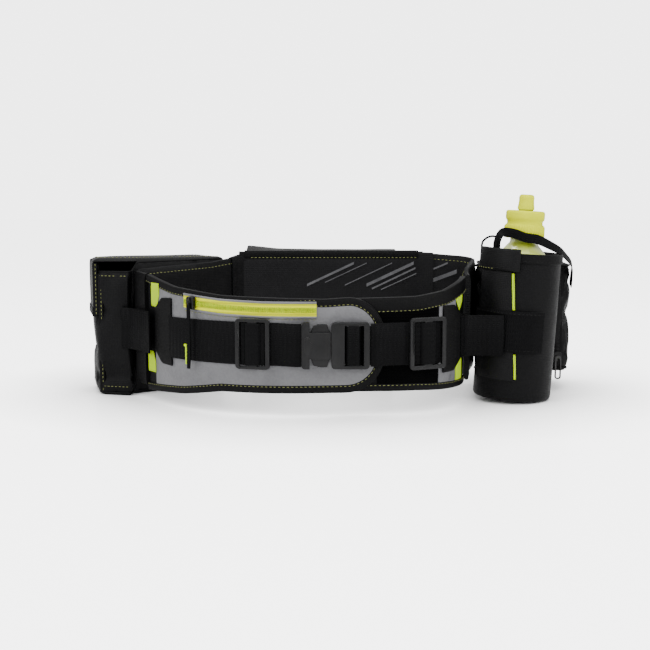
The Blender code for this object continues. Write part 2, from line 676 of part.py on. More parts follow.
def buckle_plug(half):
    """Plug of the buckle: a plate with a ladder of slots, and two prongs that squeeze inwards."""
    x0, x1 = PLUG_X
    outline = rounded(rectangle(x0, x1, STRAP_Z - BUCKLE_HALF, STRAP_Z + BUCKLE_HALF), 0.0035, 3)
    obj = finish(upright_prism(outline, BUCKLE_FRONT + 0.0006, BUCKLE_BACK), "buckle_plug", CHARCOAL,
                 0.45, half)
    for k, (a, b) in enumerate([(0.0185, 0.0225), (0.0315, 0.0365)]):
        slot = rectangle(a, b, STRAP_Z - 0.0190, STRAP_Z + 0.0190)
        cutter(upright_prism(slot, BUCKLE_FRONT - 0.01, BUCKLE_BACK + 0.01), "plug_slot_" + str(k), obj)
    middle = (BUCKLE_FRONT + BUCKLE_BACK) / 2
    pivot_x, pivot_z = PRONG_PIVOT
    arm = [(0.0051, 0.0052), (-0.0138, 0.0052), (-0.0138, 0.0110), (-0.0110, 0.0190), (-0.0040, 0.0205),
           (0.0020, 0.0205),
           (0.0040, 0.0140), (0.0051, 0.0130)]
    for name, side in (("upper", 1), ("lower", -1)):
        empty = joint_empty("prong_pivot_" + name, (pivot_x, middle, STRAP_Z + side * pivot_z), half)
        shape = [(x, STRAP_Z + side * z) for x, z in arm]
        finish(upright_prism(shape, middle - 0.0016, middle + 0.0016), "buckle_prong_" + name, CHARCOAL,
               0.45, empty)


def holster(half):
    """Bottle holster with its sleeve, collar, piping and the band that crosses it."""
    base = (*HOLSTER_BASE, holster_lift())
    r, wall_r = HOLSTER_R, HOLSTER_R - HOLSTER_WALL
    cup = [(0.0, 0.0), (r - 0.004, 0.0), (r - 0.001, 0.0010), (r, 0.004), (r, HOLSTER_TOP),
           (wall_r, HOLSTER_TOP), (wall_r, 0.004), (0.0, 0.004)]
    finish(turned(cup, base, 32, LEAN), "bottle_holster", BLACK, 0.8, half, 40)
    finish(sector(r + GAP, r + 0.0035, 196, 260, 0.022, 0.131), "holster_sleeve", BLACK, 0.8, half, 40)
    finish(sector(r + GAP, r + 0.0055, 190, 258, 0.1315, 0.1545), "holster_collar", BLACK, 0.85, half, 40)
    for name, low, high in (("upper", 0.0935, 0.1300), ("lower", 0.0240, 0.0490)):
        finish(sector(r + GAP, r + 0.0036, 260.7, 263.6, low, high, 2), "sleeve_piping_" + name, NEON,
               0.6, half)
    finish(sector(r + 0.0038, r + 0.0054, 192, 296, 0.0510, 0.0925, 14), "holster_band", BLACK, 0.75,
           half, 40)


def bottle(half):
    """Squeeze bottle with a screw cap and a push-pull valve, all on the holster's axis."""
    base = (*HOLSTER_BASE, holster_lift())
    seat = BOTTLE_FLOOR
    lift = joint_empty("bottle_axis", (*HOLSTER_BASE, holster_lift()), half)
    r, t = BOTTLE_R, BOTTLE_WALL
    outer = [(r - 0.003, seat), (r, seat + 0.003), (r, 0.120), (r - 0.0012, 0.1300), (0.0300, 0.1405),
             (0.0225, 0.1495), (0.0165, 0.1565),
             (NECK_R, 0.1595), (NECK_R, 0.1745)]
    inner = [(max(x - t, 0.0), z - t * 0.5) for x, z in reversed(outer[2:-1])]
    profile = [(0.0, seat)] + outer + [(NECK_R - t, 0.1745)] + inner + [(r - t, seat + 0.004),
                                                                        (r - 0.0045, seat + t),
                                                                        (0.0, seat + t)]
    finish(turned(profile, base, 32, LEAN), "bottle_body", (0.80, 0.86, 0.35), 0.35, lift, 40)
    cap_empty = joint_empty("cap_axis", (*HOLSTER_BASE, holster_lift()), lift)
    bore = NECK_R + GAP
    spout = 0.0070
    skirt = [(0.0200, 0.1640), (0.0204, 0.1660), (0.0200, 0.1765), (0.0180, 0.1785)]
    crown = [(0.0180, 0.1815), (0.0196, 0.1830), (0.0196, 0.1905), (0.0185, 0.1920), (spout, 0.1920)]
    socket = [(spout, 0.1765), (0.0040, 0.1765), (0.0040, 0.1750), (bore, 0.1750), (bore, 0.1640)]
    cap = skirt + crown + socket
    finish(turned(cap, base, 32, LEAN), "bottle_cap", NEON, 0.4, cap_empty, 40)
    valve_empty = joint_empty("valve_axis", (*HOLSTER_BASE, holster_lift()), cap_empty)
    valve = [(0.0, 0.1785), (spout - GAP, 0.1785), (spout - GAP, 0.1925), (0.0084, 0.1932),
             (0.0078, 0.2010), (0.0074, 0.2060), (0.0058, 0.2085),
             (0.0020, 0.2085), (0.0020, 0.1985), (0.0, 0.1985)]
    finish(turned(valve, base, 24, LEAN), "bottle_valve", NEON, 0.4, valve_empty, 40)


def ribbon(points, half_width, thick):
    """A flat band along points, its face turned away from the bottle's axis, and towards +X once it
    has passed the bottle and lies on the pouch behind it."""
    rings = []
    curve = smooth_curve(points, 3)
    for k, here in enumerate(curve):
        along = (curve[min(k + 1, len(curve) - 1)] - curve[max(k - 1, 0)]).normalized()
        axis_x = HOLSTER_BASE[0] + here.z * math.tan(LEAN)
        beside = min(max((here.y - 0.110) / 0.030, 0.0), 1.0)
        away = Vector((here.x - axis_x, (here.y - HOLSTER_BASE[1]) * (1.0 - beside), 0)).normalized()
        across = along.cross(away).normalized()
        face = across.cross(along).normalized()
        edge = across * half_width
        skin = face * (thick / 2)
        rings.append([here - edge - skin, here + edge - skin, here + edge + skin, here - edge + skin])
    return loft(rings)


def retainer(half):
    """Elastic band that holds the bottle's neck, and the thin loop at its end."""
    points = [(0.1785, 0.0900, 0.1745), (0.1885, 0.0800, 0.1722), (0.2010, 0.0762, 0.1682),
              (0.2140, 0.0778, 0.1665), (0.2290, 0.0860, 0.1600), (0.2405, 0.0950, 0.1545),
              (0.2490, 0.1060, 0.1480), (0.2560, 0.1200, 0.1405), (0.2606, 0.1370, 0.1330),
              (0.2613, 0.1520, 0.1240), (0.2612, 0.1580, 0.1120)]
    finish(ribbon(points, 0.0048, 0.0012), "neck_band", BLACK, 0.8, half)
    arch = [(0.1578, 0.0800, 0.1605), (0.1592, 0.0795, 0.1640), (0.1640, 0.0770, 0.1682),
            (0.1700, 0.0745, 0.1690), (0.1722, 0.0735, 0.1650), (0.1715, 0.0738, 0.1605)]
    tube(smooth_curve(arch, 3), 0.0011, "band_loop", BLACK, 0.7, half)


def zip_pouch(half):
    """Zipped pouch behind the holster: a closed shell with a slit under the zip."""
    low, high = ZIP_POUCH_Z
    outline = rounded(ZIP_POUCH, 0.010, 4)
    obj = finish(prism(outline, low, high), "zip_pouch", BLACK, 0.85, half)
    cutter(prism(inset(outline, POUCH_WALL), low + POUCH_WALL, high - POUCH_WALL), "zip_pouch_cavity",
           obj)
    front = ZIP_POUCH[0][1]
    slit = rectangle(ZIP_LINE_X - 0.003, ZIP_LINE_X + 0.003, low + 0.014, high - 0.008)
    cutter(upright_prism(slit, front - 0.01, front + 0.006), "zip_pouch_slit", obj)
    tape = rectangle(ZIP_LINE_X - 0.0055, ZIP_LINE_X + 0.0045, low + 0.010, high - 0.004)
    finish(upright_prism(tape, front - GAP - 0.0010, front - GAP), "pouch_zip_tape", CHARCOAL, 0.8, half)
    z = low + 0.016
    face = front - GAP * 2 - 0.0010
    slide = joint_empty("pouch_slider_start", (ZIP_LINE_X, face, z), half)
    body = rounded(rectangle(ZIP_LINE_X - 0.004, ZIP_LINE_X + 0.004, z - 0.005, z + 0.005), 0.0018, 3)
    finish(upright_prism(body, face - 0.0032, face), "pouch_zip_slider", (0.05, 0.05, 0.05), 0.35, slide)
    y = face - 0.0054
    swing = joint_empty("pouch_pull_pivot", (ZIP_LINE_X, y, z), slide)
    outline = rounded(rectangle(ZIP_LINE_X - 0.0034, ZIP_LINE_X + 0.0034, z - 0.0240, z + 0.0015), 0.0030,
                      4)
    pull = finish(upright_prism(outline, y - 0.0009, y + 0.0009), "pouch_zip_pull", (0.05, 0.05, 0.05),
                  0.35, swing)
    hole = rounded(rectangle(ZIP_LINE_X - 0.0018, ZIP_LINE_X + 0.0018, z - 0.0225, z - 0.0010), 0.0015, 3)
    cutter(upright_prism(hole, y - 0.01, y + 0.01), "pouch_pull_hole", pull)


def build():
    """Clear the scene and build the pack about the middle of its footprint."""
    for obj in list(bpy.data.objects):
        bpy.data.objects.remove(obj, do_unlink=True)
    root = joint_empty("pack", (0.0, 0.0, 0.0), None)
    root.location = (-CENTRE[0], -CENTRE[1], 0.0)
    lumbar(root)
    outer_y = REAR_Y + LUMBAR_THICK / 2
    left = joint_empty("left_crease", (LEFT_CREASE_X, outer_y, 0.09), root)
    left_belt(left)
    left_strap(left)
    left_glide(left)
    front_zip(left)
    buckle_socket(left)
    left_pouch(left)
    right = joint_empty("right_crease", (RIGHT_CREASE_X, outer_y, 0.09), root)
    right_belt(right)
    right_strap(right)
    buckle_plug(right)
    holster(right)
    bottle(right)
    retainer(right)
    zip_pouch(right)


build()
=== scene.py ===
"""The looks of the waist pack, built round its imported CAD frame.

Lengths are in metres. Plan positions are written in the layout frame, whose X runs along the
buckle's side and whose Y starts at the outer wing's face; LAYOUT moves them to the CAD's frame.
"""
import json
import math

import bpy
from mathutils import Matrix, Vector, noise


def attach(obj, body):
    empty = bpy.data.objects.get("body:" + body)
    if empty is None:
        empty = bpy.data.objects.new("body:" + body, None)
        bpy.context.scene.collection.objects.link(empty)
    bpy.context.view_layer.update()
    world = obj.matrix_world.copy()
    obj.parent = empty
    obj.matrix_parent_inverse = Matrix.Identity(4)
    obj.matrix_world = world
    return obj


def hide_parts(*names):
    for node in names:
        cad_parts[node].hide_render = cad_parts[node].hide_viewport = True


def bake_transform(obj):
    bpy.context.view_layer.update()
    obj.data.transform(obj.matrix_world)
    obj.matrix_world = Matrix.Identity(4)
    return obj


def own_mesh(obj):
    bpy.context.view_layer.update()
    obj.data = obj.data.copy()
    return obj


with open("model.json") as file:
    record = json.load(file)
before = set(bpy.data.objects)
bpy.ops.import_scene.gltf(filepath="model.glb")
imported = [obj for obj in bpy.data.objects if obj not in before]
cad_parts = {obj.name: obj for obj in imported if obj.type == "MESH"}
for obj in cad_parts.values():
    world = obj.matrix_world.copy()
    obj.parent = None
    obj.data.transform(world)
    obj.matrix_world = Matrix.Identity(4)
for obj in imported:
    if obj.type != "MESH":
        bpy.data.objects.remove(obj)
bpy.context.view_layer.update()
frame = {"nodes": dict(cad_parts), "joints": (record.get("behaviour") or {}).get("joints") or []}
joints = {joint["name"]: joint for joint in frame["joints"]}

# ---------------------------------------------------------------- sizes shared with the frame
FRONT_X = -0.020
LEFT_ARC_R = 0.191
MIDDLE_ARC_R = 0.800
RIGHT_ARC_X = 0.070
RIGHT_ARC_R = 0.086
WING_LEFT_X = -0.181
WING_TIP_X = 0.056
WING_THICK = 0.004
INNER_SET = -0.005             # inner wing's face behind the outer wing's
INNER_WING_X = 0.0085
LEFT_CREASE_X = -0.096
RIGHT_CREASE_X = 0.109
REAR_Y = 0.192
LEFT_FOLD = (-0.199, 0.1164)
RIGHT_CORNER = (0.166, 0.192)
BELT_LOW, BELT_TOP = 0.028, 0.150
STRAP_Z = 0.0705
WEB_HALF = 0.0205
HOLSTER_BASE = (0.194, 0.099)
HOLSTER_R = 0.040
LEAN = math.radians(3.3)

arc_centre = Vector(joints["left_adjust"]["pos_m"])
LAYOUT = Vector((arc_centre.x - FRONT_X, arc_centre.y - LEFT_ARC_R, 0.0))


# ---------------------------------------------------------------- material kit
def new_material(name):
    """A material with a Principled shader: its nodes, links and shader."""
    mat = bpy.data.materials.new(name)
    mat.use_nodes = True
    tree = mat.node_tree
    return mat, tree.nodes, tree.links, tree.nodes["Principled BSDF"]


def math_node(nodes, links, operation, first, second):
    """A Math node fed by sockets or numbers."""
    node = nodes.new("ShaderNodeMath")
    node.operation = operation
    for socket, value in zip(node.inputs, (first, second)):
        if isinstance(value, (int, float)):
            socket.default_value = value
        else:
            links.new(value, socket)
    return node.outputs[0]


def uv_map(nodes, links, scale):
    """The surface's own coordinates, in metres along and up each piece, stretched by a scale."""
    uv = nodes.new("ShaderNodeUVMap")
    uv.uv_map = "metres"
    mapping = nodes.new("ShaderNodeMapping")
    mapping.inputs["Scale"].default_value = scale
    links.new(uv.outputs[0], mapping.inputs["Vector"])
    return mapping.outputs[0]


def solid_map(nodes, scale):
    """Object coordinates stretched by a scale."""
    coordinates = nodes.new("ShaderNodeTexCoord")
    mapping = nodes.new("ShaderNodeMapping")
    mapping.inputs["Scale"].default_value = (scale, scale, scale)
    coordinates.id_data.links.new(coordinates.outputs["Object"], mapping.inputs["Vector"])
    return mapping.outputs[0]


def wave(nodes, links, vector, direction, scale, distortion=0.0):
    """Bands across one direction."""
    node = nodes.new("ShaderNodeTexWave")
    node.bands_direction = direction
    node.inputs["Scale"].default_value = scale
    node.inputs["Distortion"].default_value = distortion
    links.new(vector, node.inputs["Vector"])
    return node.outputs["Fac"]


def grain(nodes, links, vector, scale, detail=4.0):
    """Soft noise."""
    node = nodes.new("ShaderNodeTexNoise")
    node.inputs["Scale"].default_value = scale
    node.inputs["Detail"].default_value = detail
    links.new(vector, node.inputs["Vector"])
    return node.outputs["Fac"]


def ramp_between(nodes, links, factor, low, high, start=0.3, end=0.7):
    """Colours blended by a factor."""
    node = nodes.new("ShaderNodeValToRGB")
    node.color_ramp.elements[0].position = start
    node.color_ramp.elements[1].position = end
    node.color_ramp.elements[0].color = (*low, 1.0)
    node.color_ramp.elements[1].color = (*high, 1.0)
    links.new(factor, node.inputs[0])
    return node.outputs[0]


def bump(nodes, links, shader, height, distance, strength=1.0):
    """Bump from a height."""
    node = nodes.new("ShaderNodeBump")
    node.inputs["Strength"].default_value = strength
    node.inputs["Distance"].default_value = distance
    links.new(height, node.inputs["Height"])
    links.new(node.outputs["Normal"], shader.inputs["Normal"])


def cloth(name, low, high, rough, thread=0.0009, depth=0.00016, sheen=0.0, crumple=0.0004, specular=0.3,
          stripes=False):
    """Woven cloth: crossed threads, uneven dye and gloss, and a little crumple."""
    mat, nodes, links, shader = new_material(name)
    flat = uv_map(nodes, links, (1.0, 1.0, 1.0))
    per_metre = 1.0 / (thread * 6.2832)
    warp = wave(nodes, links, flat, "X", per_metre)
    weft = wave(nodes, links, flat, "Y", per_metre * (0.45 if stripes else 1.0))
    weave = math_node(nodes, links, "MAXIMUM", warp, weft)
    space = solid_map(nodes, 1.0)
    broad = grain(nodes, links, space, 28.0, 5.0)
    fine = grain(nodes, links, space, 420.0, 3.0)
    mix = math_node(nodes, links, "ADD", math_node(nodes, links, "MULTIPLY", broad, 0.7),
                    math_node(nodes, links, "MULTIPLY", fine, 0.3))
    links.new(ramp_between(nodes, links, mix, low, high), shader.inputs["Base Color"])
    uneven = math_node(nodes, links, "MULTIPLY_ADD", broad, 0.22)
    uneven.node.inputs[2].default_value = rough - 0.11
    links.new(uneven, shader.inputs["Roughness"])
    shader.inputs["Sheen Weight"].default_value = sheen
    shader.inputs["Sheen Roughness"].default_value = 0.5
    shader.inputs["Specular IOR Level"].default_value = specular
    relief = math_node(nodes, links, "MULTIPLY", weave, depth)
    folds = math_node(nodes, links, "MULTIPLY", grain(nodes, links, space, 60.0, 3.0), crumple)
    bump(nodes, links, shader, math_node(nodes, links, "ADD", relief, folds), 1.0)
    return mat


def plastic(name, low, high, rough, texture=0.00004, coat=0.0, specular=0.3):
    """Moulded plastic with a fine spark-eroded texture, slight scuffs and uneven gloss."""
    mat, nodes, links, shader = new_material(name)
    space = solid_map(nodes, 1.0)
    broad = grain(nodes, links, space, 90.0, 6.0)
    links.new(ramp_between(nodes, links, broad, low, high), shader.inputs["Base Color"])
    uneven = math_node(nodes, links, "MULTIPLY_ADD", broad, 0.18)
    uneven.node.inputs[2].default_value = rough - 0.09
    links.new(uneven, shader.inputs["Roughness"])
    shader.inputs["Coat Weight"].default_value = coat
    shader.inputs["Specular IOR Level"].default_value = specular
    bump(nodes, links, shader, math_node(nodes, links, "MULTIPLY", grain(nodes, links, space, 900.0, 2.0),
                                         texture), 1.0)
    return mat


def neon_cloth(name, ribs_per_metre, direction, low, high):
    """Fluorescent tape, ribbed across one direction, almost without shine; its rib grooves take the darker
    colour, painted shade between the ribs.
    """
    mat, nodes, links, shader = new_material(name)
    flat = uv_map(nodes, links, (1.0, 1.0, 1.0))
    ribs = wave(nodes, links, flat, direction, ribs_per_metre / 6.2832)
    space = solid_map(nodes, 1.0)
    # painted shade: the colour runs from low in the rib grooves to high on the rib tops
    links.new(ramp_between(nodes, links, ribs, low, high, 0.0, 0.8), shader.inputs["Base Color"])
    shader.inputs["Roughness"].default_value = 0.55
    shader.inputs["Specular IOR Level"].default_value = 0.1
    relief = math_node(nodes, links, "MULTIPLY", ribs, 0.0002)
    fine = math_node(nodes, links, "MULTIPLY", grain(nodes, links, space, 700.0), 0.0001)
    bump(nodes, links, shader, math_node(nodes, links, "ADD", relief, fine), 1.0)
    return mat


def squeeze_plastic():
    """Milky yellow-green polyethylene that lets some light through."""
    mat, nodes, links, shader = new_material("squeeze_plastic")
    space = solid_map(nodes, 1.0)
    broad = grain(nodes, links, space, 60.0)
    links.new(ramp_between(nodes, links, broad, (0.46, 0.54, 0.05), (0.55, 0.62, 0.08)),
              shader.inputs["Base Color"])
    shader.inputs["Roughness"].default_value = 0.32
    shader.inputs["Transmission Weight"].default_value = 0.25
    shader.inputs["Subsurface Weight"].default_value = 0.25
    shader.inputs["Subsurface Radius"].default_value = (0.01, 0.01, 0.003)
    bump(nodes, links, shader, math_node(nodes, links, "MULTIPLY", grain(nodes, links, space, 500.0),
                                         0.00003), 1.0)
    return mat


NYLON = cloth("black_nylon", (0.0020, 0.0020, 0.0022), (0.0046, 0.0046, 0.0049), 0.42, specular=0.10)
PADDED = cloth("padded_black", (0.0012, 0.0012, 0.0014), (0.0030, 0.0030, 0.0033), 0.44, crumple=0.0009,
               specular=0.085)
LINING = cloth("lining_charcoal", (0.0045, 0.0045, 0.0049), (0.0085, 0.0085, 0.0090), 0.70, thread=0.0012,
               depth=0.0002, crumple=0.0009,
               specular=0.10)
SATIN = cloth("satin_grey", (0.075, 0.075, 0.080), (0.125, 0.125, 0.132), 0.34, thread=0.0005,
              depth=0.00005, crumple=0.0022, specular=0.55)
WEBBING = cloth("webbing_black", (0.0012, 0.0012, 0.0014), (0.0032, 0.0032, 0.0035), 0.50, thread=0.0011,
                depth=0.0003, crumple=0.0002,
                specular=0.05, stripes=True)
BINDING = cloth("binding_black", (0.0012, 0.0012, 0.0013), (0.0030, 0.0030, 0.0032), 0.50, thread=0.0008,
                depth=0.0002, crumple=0.0002,
                specular=0.08)
PILE = cloth("loop_pile", (0.0006, 0.0006, 0.0007), (0.0016, 0.0016, 0.0018), 0.92, thread=0.0014,
             depth=0.0006, crumple=0.0006, specular=0.02)
# each neon tape's first colour is painted shade in its rib grooves, the second its rib tops
NEON_ZIP = neon_cloth("neon_zip", 420.0, "Y", (0.38, 0.40, 0.0), (0.60, 0.62, 0.0))
NEON_TRIM = neon_cloth("neon_trim", 900.0, "X", (0.28, 0.41, 0.0), (0.40, 0.60, 0.0))
ACETAL = plastic("black_acetal", (0.0030, 0.0030, 0.0033), (0.0060, 0.0060, 0.0064), 0.34, specular=0.22)
ENAMEL = plastic("black_enamel", (0.0020, 0.0020, 0.0022), (0.0045, 0.0045, 0.0047), 0.28, coat=0.1,
                 specular=0.2)
CAP = plastic("cap_plastic", (0.55, 0.585, 0.0), (0.60, 0.63, 0.0), 0.40, specular=0.05)
BOTTLE = squeeze_plastic()
THREAD_PALE = plastic("thread_pale", (0.16, 0.17, 0.06), (0.24, 0.25, 0.10), 0.7, specular=0.1)
THREAD_DARK = plastic("thread_dark", (0.006, 0.006, 0.006), (0.012, 0.012, 0.012), 0.7, specular=0.1)
PRINT = plastic("print_grey", (0.060, 0.060, 0.064), (0.10, 0.10, 0.105), 0.6, specular=0.1)
STEEL = plastic("pull_metal", (0.006, 0.006, 0.006), (0.014, 0.014, 0.014), 0.35, specular=0.5)


# ---------------------------------------------------------------- mesh kit
def add_mesh(name, verts, faces, mat, body, uvs=None, angle=50.0, replaces=()):
    """A piece made of layout-frame points, smooth but for its sharp edges, riding on a body."""
    mesh = bpy.data.meshes.new(name)
    mesh.from_pydata([Vector(v) + LAYOUT for v in verts], [], faces)
    layer = mesh.uv_layers.new(name="metres")
    if uvs:
        for loop in mesh.loops:
            layer.data[loop.index].uv = uvs[loop.vertex_index]
    mesh.validate()
    mesh.materials.append(mat)
    mesh.shade_smooth()
    mesh.set_sharp_from_angle(angle=math.radians(angle))
    obj = bpy.data.objects.new(name, mesh)
    bpy.context.scene.collection.objects.link(obj)
    dress(obj, body, replaces)
    return obj


def dress(obj, body, replaces=()):
    """Ride and the nodes that a piece stands for."""
    if body:
        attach(obj, body)
    if replaces:
        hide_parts(*replaces)


def skin(rings, closed=False, capped=True):
    """Faces joining equal closed rings of points in a row."""
    count = len(rings[0])
    verts = [p for ring in rings for p in ring]
    faces = []
    total = len(rings)
    for k in range(total if closed else total - 1):
        a, b = k * count, ((k + 1) % total) * count
        for i in range(count):
            j = (i + 1) % count
            faces.append((a + i, b + i, b + j, a + j))
    if capped and not closed:
        faces.append(tuple(range(count)))
        faces.append(tuple(reversed(range((total - 1) * count, total * count))))
    return verts, faces


def ripple(point, scale, seed):
    """Smooth noise from -1 to 1."""
    return noise.noise(Vector(point) * scale + Vector((seed * 7.3, seed * 3.1, seed * 1.7)))


def ramp(*stops):
    """A function that runs straight between (place, value) stops."""
    def value(at):
        for (a, low), (b, high) in zip(stops, stops[1:]):
            if at <= b:
                return low + (high - low) * max(at - a, 0.0) / (b - a)
        return stops[-1][1]
    return value


def level(value):
    """A height function that stays the same all along."""
    return value if callable(value) else (lambda at: value)


def path_frames(path):
    """Each path point with its outward normal and the length run so far."""
    run = 0.0
    result = []
    for k, point in enumerate(path):
        ahead = Vector(path[min(k + 1, len(path) - 1)])
        behind = Vector(path[max(k - 1, 0)])
        along = (ahead - behind).normalized()
        if k:
            run += math.dist(path[k - 1], point)
        result.append((Vector(point), Vector((along.y, -along.x)), run))
    return result


def panel(name, path, inner, outer, low, high, mat, body, rows=16, puff=0.0, puff_in=0.0, crease=0.0,
          seed=1,
          keys=None, replaces=(), ends=True, fold_scale=22.0, inside=None):
    """An upright cloth panel along a plan path: two faces a thickness apart, softly rounded edges,
    a swell in the middle and shallow creases. The edges are functions of X, or of keys."""
    inner, outer, low, high = (level(f) for f in (inner, outer, low, high))
    frames = path_frames(path)
    rings, uvs = [], []
    last = len(frames) - 1
    for k, (here, normal, run) in enumerate(frames):
        at = here.x if keys is None else keys[k]
        a, b, z0, z1 = inner(at), outer(at), low(at), high(at)
        half = (b - a) / 2
        edge = min(half, 0.002)
        fade = min(1.0, run / 0.012, (frames[last][2] - run) / 0.012) if ends else 1.0
        ring = []
        for i in range(rows + 1):
            v = i / rows
            z = z0 + edge * 0.5 + (z1 - z0 - edge) * v
            swell = math.sin(math.pi * v) ** 0.6 * fade
            spot = (here.x, here.y, z)
            dent = crease * swell * ripple(spot, fold_scale, seed)
            out = b + puff * swell + dent
            if i in (0, rows):
                out = b - edge * 0.5
            ring.append((out, z))
        ring.append(((a + b) / 2, z1))
        for i in range(rows + 1):
            v = 1 - i / rows
            z = z0 + edge * 0.5 + (z1 - z0 - edge) * v
            swell = math.sin(math.pi * v) ** 0.6 * fade
            dent = crease * swell * ripple((here.x, here.y, z), fold_scale, seed + 5)
            out = a - puff_in * swell - dent
            if i in (0, rows):
                out = a + edge * 0.5
            ring.append((out, z))
        ring.append(((a + b) / 2, z0))
        rings.append([(here.x + normal.x * o, here.y + normal.y * o, z) for o, z in ring])
        uvs += [(run, z) for o, z in ring]
    verts, faces = skin(rings)
    obj = add_mesh(name, verts, faces, mat, body, uvs, replaces=replaces)
    if inside:
        obj.data.materials.append(inside)
        count = len(rings[0])
        for polygon in obj.data.polygons[:count * last]:
            polygon.material_index = int(polygon.index % count > rows)
    return obj


def sweep(name, points, across, away, section, mat, body, closed=False, replaces=(), angle=50.0):
    """A section of (across, away) offsets carried along points; across and away are directions."""
    rings, uvs = [], []
    run = 0.0
    for k, point in enumerate(points):
        here = Vector(point)
        if k:
            run += (here - Vector(points[k - 1])).length
        rings.append([here + across[k] * a + away[k] * b for a, b in section])
        uvs += [(run, a) for a, b in section]
    verts, faces = skin(rings, closed=closed)
    return add_mesh(name, verts, faces, mat, body, uvs, angle=angle, replaces=replaces)


def stitches(name, runs, mat, body, length=0.0024, pitch=0.0042, radius=0.00024):
    """Rows of raised stitches. Each run is a list of (point, outward direction)."""
    verts, faces = [], []
    for run in runs:
        lengths = [0.0]
        for (a, _), (b, _) in zip(run, run[1:]):
            lengths.append(lengths[-1] + (Vector(b) - Vector(a)).length)
        at = pitch / 2
        seg = 0
        while at + length / 2 < lengths[-1]:
            while lengths[seg + 1] < at:
                seg += 1
            part = (at - lengths[seg]) / max(lengths[seg + 1] - lengths[seg], 1e-9)
            a, b = Vector(run[seg][0]), Vector(run[seg + 1][0])
            centre = a.lerp(b, part)
            along = (b - a).normalized()
            out = Vector(run[seg][1]).normalized()
            side = along.cross(out).normalized()
            first = len(verts)
            for t, r in ((-0.5, 0.35), (-0.36, 0.95), (0.0, 1.1), (0.36, 0.95), (0.5, 0.35)):
                for q in range(6):
                    turn = q * math.pi / 3
                    lift = 0.5 * radius * (1 - abs(t) * 2.4)
                    verts.append(centre + along * (t * length) + side * (radius * r * math.cos(turn))
                                 + out * (radius * r * math.sin(turn) * 0.8 + lift))
            for ring in range(4):
                for q in range(6):
                    n = (q + 1) % 6
                    c = first + ring * 6
                    faces.append((c + q, c + 6 + q, c + 6 + n, c + n))
            faces.append(tuple(first + q for q in range(6)))
            faces.append(tuple(first + 24 + q for q in reversed(range(6))))
            at += pitch
    return add_mesh(name, verts, faces, mat, body, [(0.0, 0.0)] * len(verts), angle=70)


def turned(name, profile, mat, body, segments=96, replaces=(), warp=None, angle=40.0):
    """A closed (radius, height) profile turned about the holster's leaning axis."""
    tilt = Matrix.Rotation(LEAN, 4, "Y")
    base = Vector((*HOLSTER_BASE, HOLSTER_R * math.sin(LEAN)))
    rings, uvs = [], []
    for k in range(segments):
        a = 2 * math.pi * k / segments
        ring = []
        for r, z in profile:
            extra = warp(a, r, z) if warp else 0.0
            ring.append(base + tilt @ Vector(((r + extra) * math.cos(a), (r + extra) * math.sin(a), z)))
            uvs.append((0.04 * a, z + r))
        rings.append(ring)
    verts, faces = skin(rings, closed=True)
    return add_mesh(name, verts, [tuple(reversed(f)) for f in faces], mat, body, uvs, angle=angle,
                    replaces=replaces)


def round_panel(name, inner, outer, first, last, low, high, mat, body, replaces=(), columns=40,
                rows=20,
                crease=0.0, puff=0.0, seed=3, skew=0.0, lean_all=False):
    """A cloth panel wrapped round the holster between two angles, with soft edges."""
    tilt = Matrix.Rotation(LEAN, 4, "Y")
    base = Vector((*HOLSTER_BASE, HOLSTER_R * math.sin(LEAN)))
    rings, uvs = [], []
    low, high = level(low), level(high)
    for k in range(columns + 1):
        part = k / columns
        a = math.radians(first + (last - first) * part)
        fade = min(1.0, part * 8, (1 - part) * 8)
        ring = []
        z0, z1 = low(part), high(part)
        soft = 0.0007
        for i in range(rows + 1):
            v = i / rows
            z = z0 + (z1 - z0) * v
            swell = math.sin(math.pi * v) ** 0.5 * fade
            spot = (math.cos(a) * 0.04, math.sin(a) * 0.04, z)
            ring.append((outer + puff * swell + crease * swell * ripple(spot, 40.0,
                    seed) - (soft if i in (0, rows) else 0.0), z))
        ring.append((inner, z1))
        ring.append((inner, z0))
        share = 1.0 if lean_all else part
        turns = [a - math.radians(skew) * (z - 0.030) * share for r, z in ring]
        rings.append([base + tilt @ Vector((r * math.cos(q), r * math.sin(q), z)) for (r, z),
                      q in zip(ring, turns)])
        uvs += [(q * 0.042, z) for (r, z), q in zip(ring, turns)]
    verts, faces = skin(rings)
    return add_mesh(name, verts, faces, mat, body, uvs, replaces=replaces)


def bevelled(node, name, mat, body, width=0.0006, segments=3):
    """A moulded piece: the CAD node's own shape with its edges rounded."""
    source = frame["nodes"][node]
    obj = source.copy()
    obj.data = source.data.copy()
    obj.name = name
    for key in list(obj.keys()):
        del obj[key]
    bpy.context.scene.collection.objects.link(obj)
    obj.parent = None
    obj.data.materials.clear()
    obj.data.materials.append(mat)
    if "metres" not in obj.data.uv_layers:
        layer = obj.data.uv_layers.new(name="metres")
        for loop in obj.data.loops:
            co = obj.data.vertices[loop.vertex_index].co
            layer.data[loop.index].uv = (co.x + co.y, co.z)
    weld = obj.modifiers.new("weld", "WELD")
    weld.merge_threshold = 0.00001
    round_off = obj.modifiers.new("round", "BEVEL")
    round_off.width = width
    round_off.segments = segments
    round_off.limit_method = "ANGLE"
    round_off.angle_limit = math.radians(35)
    round_off.harden_normals = False
    obj.data.shade_smooth()
    bake_modifiers(obj)
    obj.data.set_sharp_from_angle(angle=math.radians(42))
    dress(obj, body, (node,))
    return obj


def bake_modifiers(obj):
    """Replace an object's mesh by what its modifiers make."""
    bpy.context.view_layer.update()
    graph = bpy.context.evaluated_depsgraph_get()
    made = bpy.data.meshes.new_from_object(obj.evaluated_get(graph))
    obj.modifiers.clear()
    obj.data = made


